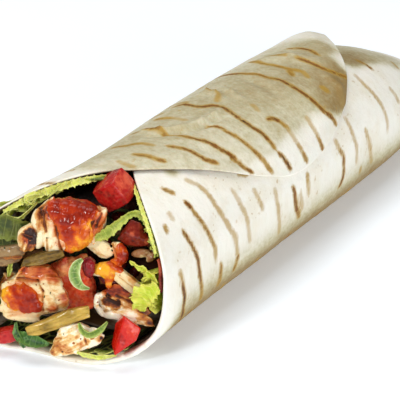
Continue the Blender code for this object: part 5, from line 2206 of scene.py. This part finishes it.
    seasoned: Morsel = meat(
        "chicken_seasoned", 30, flesh=tone(252, 240, 212), tan=tone(236, 196, 126), flakes=18,
        flake=(3.4, 2.2, 1.2), lump=1.6, soften=2,
        boards=((((2.3, -15.9), (6, -14.6), (9.1, -14.1), (10, -16.7), (17.4, -17.6), (16.4, -20.7),
                  (11, -23.4), (6, -25.5), (0.9, -26.4), (-1.5, -25.1), (-0.1, -21.4)), -3.8, 4.4, 1.4),),
        lobes=((1, -23.8, -2.6, 5, 3, 2.6, 60),),
        creases=((10.4, -17.2, 11.6, -21, 0.4, 0.6), (0.8, -20.2, 5, -18.6, 0.4, 0.4)),
        sear=((4, -22.4, -3.4, 7, 0.5), (2.6, -23, -3, 2, 0.6), (8.6, -18.6, -3.8, 1.4, 0.6),
              (11.8, -19.4, -3.6, 1.2, 0.7), (15.8, -18.6, -3.2, 1.6, 0.9), (6.6, -23.6, -3.2, 1.4, 0.6),
              (0.2, -24.8, -3, 1.6, 0.8)),
        stain=((4.4, -22.4, -3.4, 3, 0.5), (9, -21, -3.4, 2.4, 0.45)),
        char=((7.2, -20.6, -3.6, 0.7, 0.8), (13.4, -18.4, -3.4, 0.9, 0.9), (16.4, -18.4, -3, 0.9, 0.8),
              (3.4, -24.2, -3, 0.6, 0.7)),
    )
    nugget: Morsel = meat(
        "chicken_nugget", 70, flakes=10, flake=(4, 1.6, 0.9), lump=1.1,
        boards=((((-13, 14.4), (-11.8, 16.5), (-9.4, 17.4), (-7.4, 16), (-6.8, 13.6), (-7, 10.4), (-10, 7.8),
                  (-12.8, 9.6), (-13.4, 12)), 1.4, 4.4, 1.2),),
        lobes=((-11.6, 15.4, 2.2, 4, 1.8, 2.4, 50), (-10.2, 10, 1.8, 4.4, 2, 2.2, 70)),
        creases=((-11.4, 14.2, -8.4, 13.4, 0.5, 0.9), (-9, 12, -10, 8.8, 0.4, 0.6)),
        sear=((-9.2, 12.2, 1.6, 4.4, 0.9), (-10.4, 9.6, 2, 3, 0.7), (-7.6, 15, 2, 3, 0.9)),
        char=((-9, 14.6, 1.8, 2.4), (-7.6, 12.8, 2, 2.4)), stain=((-9, 13, 2, 3.4, 0.9),),
    )
    # painted shade: flesh and tan darkened for a piece that lies in shadow
    shred: Morsel = meat(
        "chicken_shred", 12, flesh=tone(150, 120, 78), tan=tone(112, 82, 48), flakes=6, flake=(6, 2.2, 0.9),
        lump=1, fibre=0.4,
        boards=((((-29, 6), (-20, 7.4), (-12.9, 9.2), (-10.8, 7.2), (-13.2, 2.8), (-17.4, 1.4), (-28, 1)),
                 5.4, 3.4, 0.8),),
        creases=((-20, 3.8, -13, 4.6, 0.5, 0.8),),
        sear=((-12, 7.4, 6, 2, 0.8), (-13.6, 3.4, 6, 2.4, 0.7), (-25, 3, 6, 4, 0.5)),
    )
    far: Morsel = meat("chicken_far", 40, flakes=14, sear=((-22, -8, 13, 6, 0.9),))

    def build(self) -> None:
        """Makes each piece of meat, then the sauce on it."""
        sauce = Sauce().material()
        for part in fields(self):
            morsel = getattr(self, part.name)
            host = morsel.build()
            if morsel.coat:
                morsel.coat.build(host, sauce)


@dataclass(frozen=True)
class Core(Assembly):
    """The mixed filling behind the pieces, lumpy and painted dark as shade, with darkened shreds showing on
    its face.
    """

    filling: Morsel = Morsel(
        "filling_core", "mixed_filling", DeepFilling(),
        voxel=1.0, soften=2, lump=2.6, lump_size=9.0, fibre=1.0, fibre_size=3.0,
    )
    # the shreds are darkened copies of meat, leaf and tomato: painted shade deep in the mouth
    meat: Strewn = Strewn(
        "deep_meat_shreds", "mixed_filling",
        CookedMeat("deep_meat", tuple(MOUTH.along(20.0)), tone(150, 100, 58), tone(104, 58, 28),
                   tone(84, 42, 20)),
        (9.0, 3.2, 3.0), 1.1, 11, ("filling_core_piece",), sink=-0.4, fine=3,
    )
    leaf: Strewn = Strewn(
        "deep_leaf_shreds", "mixed_filling", Fleck("deep_leaf", tone(24, 36, 8), tone(70, 88, 24)),
        (11.0, 5.0, 0.7), 1.5, 12, ("filling_core_piece",), sink=-1.2, fine=3,
    )
    tomato: Strewn = Strewn(
        "deep_tomato_bits", "mixed_filling",
        WetTomato("deep_red", tone(96, 12, 10), tone(132, 38, 22), tone(46, 4, 4)),
        (5.0, 4.4, 4.0), 0.8, 13, ("filling_core_piece",), sink=-0.6, fine=3,
    )


@dataclass(frozen=True)
class Seasoning:
    """Ground pepper, herbs and spice over the pieces at the mouth."""

    meats: tuple[str, ...] = ("sauced", "large", "curl", "seasoned", "nugget", "shred", "strip")

    def build(self) -> None:
        """Strews each kind over the meat."""
        hosts = tuple(f"chicken_{name}_piece" for name in self.meats)
        pepper = Fleck("pepper_grain", tone(34, 22, 14), tone(92, 66, 40))
        herb = Fleck("herb_leaf", tone(44, 62, 22), tone(96, 116, 44))
        spice = Fleck("spice_grain", tone(150, 70, 20), tone(200, 120, 40))
        Strewn("pepper_grains", "chicken", pepper, (0.4, 0.34, 0.26), 0.8, 21, hosts, 0.4, 1.1, 0.03).build()
        Strewn("herb_flecks", "chicken", herb, (1.1, 0.5, 0.16), 1.2, 22, hosts, 0.5, 1.2, 0.0).build()
        Strewn("spice_grains", "chicken", spice, (0.6, 0.5, 0.3), 5.0, 23, hosts, 0.5, 1.4, 0.03).build()


def toward(azimuth: float, elevation: float) -> Vector:
    """Unit direction from the roll to a point around it.

    Args:
        azimuth: angle from the mouth toward the flap, in degrees.
        elevation: angle above the floor, in degrees.

    Returns:
        The direction.
    """
    a, e = math.radians(azimuth), math.radians(elevation)
    return Vector((math.sin(a) * math.cos(e), -math.cos(a) * math.cos(e), math.sin(e)))


@dataclass(frozen=True)
class Lamp:
    """A square soft light that faces the roll, placed by its direction and distance in metres."""

    name: str
    azimuth: float
    elevation: float
    away: float
    size: float
    power: float
    tint: tuple[float, float, float] = (1.0, 1.0, 1.0)

    def build(self) -> None:
        """Adds the light."""
        data = bpy.data.lights.new(self.name, "AREA")
        data.size = self.size
        data.energy = self.power
        data.color = self.tint
        lamp = bpy.data.objects.new(self.name, data)
        back = toward(self.azimuth, self.elevation)
        lamp.location = back * self.away
        lamp.rotation_euler = back.to_track_quat("Z", "Y").to_euler()
        bpy.context.scene.collection.objects.link(lamp)


@dataclass(frozen=True)
class Studio:
    """Pale floor, soft lights, and the camera at the photograph's angle."""

    eye: tuple[float, float, float] = (0.37775, -0.57268, 0.3777)
    azimuth: float = 34.2
    elevation: float = 28.0
    lens: float = 189.0
    sky: float = 0.24  # strength of the white world
    glow: float = 0.21  # strength of the floor's own light
    half: float = 3.0  # half the floor's width
    lamps: tuple[Lamp, ...] = (
        Lamp("key", 64.0, 16.0, 1.2, 0.6, 6.4),
        Lamp("front", -8.0, 30.0, 1.1, 0.16, 4.2, (1.0, 1.0, 0.99)),
        Lamp("back", -100.0, 77.0, 1.1, 0.85, 7.0),
    )

    def floor(self) -> None:
        """Lays the pale floor."""
        mesh = bpy.data.meshes.new("floor")
        corners = [(x * self.half, y * self.half, 0) for x, y in ((-1, -1), (1, -1), (1, 1), (-1, 1))]
        mesh.from_pydata(corners, [], [(0, 1, 2, 3)])
        floor = bpy.data.objects.new("floor", mesh)
        bpy.context.scene.collection.objects.link(floor)
        paint = Paint("pale_floor", Emission_Strength=self.glow)
        paint.shader.inputs["Emission Color"].default_value = (1.0, 1.0, 1.0, 1.0)
        grain = paint.noise(paint.here(), 30.0, 2.0, 0.55)
        paint.dress(paint.mix(grain, tone(240, 246, 254), tone(237, 244, 252)), 0.9, grain, 0.01)
        mesh.materials.append(paint.material)

    def camera(self) -> None:
        """Points the camera at the roll as the photograph's was."""
        data = bpy.data.cameras.new("camera")
        data.lens = self.lens
        data.sensor_width = 36.0
        data.clip_start, data.clip_end = 0.01, 20.0
        camera = bpy.data.objects.new("camera", data)
        camera.location = self.eye
        camera.rotation_euler = (-toward(self.azimuth, self.elevation)).to_track_quat("-Z", "Y").to_euler()
        bpy.context.scene.collection.objects.link(camera)
        bpy.context.scene.camera = camera

    def build(self) -> None:
        """Sets the world, the lights and the camera."""
        scene = bpy.context.scene
        scene.view_settings.view_transform = "Standard"
        scene.world = bpy.data.worlds.new("studio")
        scene.world.use_nodes = True
        back = scene.world.node_tree.nodes["Background"]
        back.inputs["Color"].default_value = (1.0, 1.0, 1.0, 1.0)
        back.inputs["Strength"].default_value = self.sky
        self.floor()
        for lamp in self.lamps:
            lamp.build()
        self.camera()


def main() -> None:
    """Builds the studio and the roll."""
    logging.basicConfig(level=logging.INFO, format="%(message)s")
    for part in (Studio(), ROLL, Core(), Lettuce(), Vegetables(), Chicken(), Seasoning()):
        part.build()


if __name__ == "__main__":
    main()
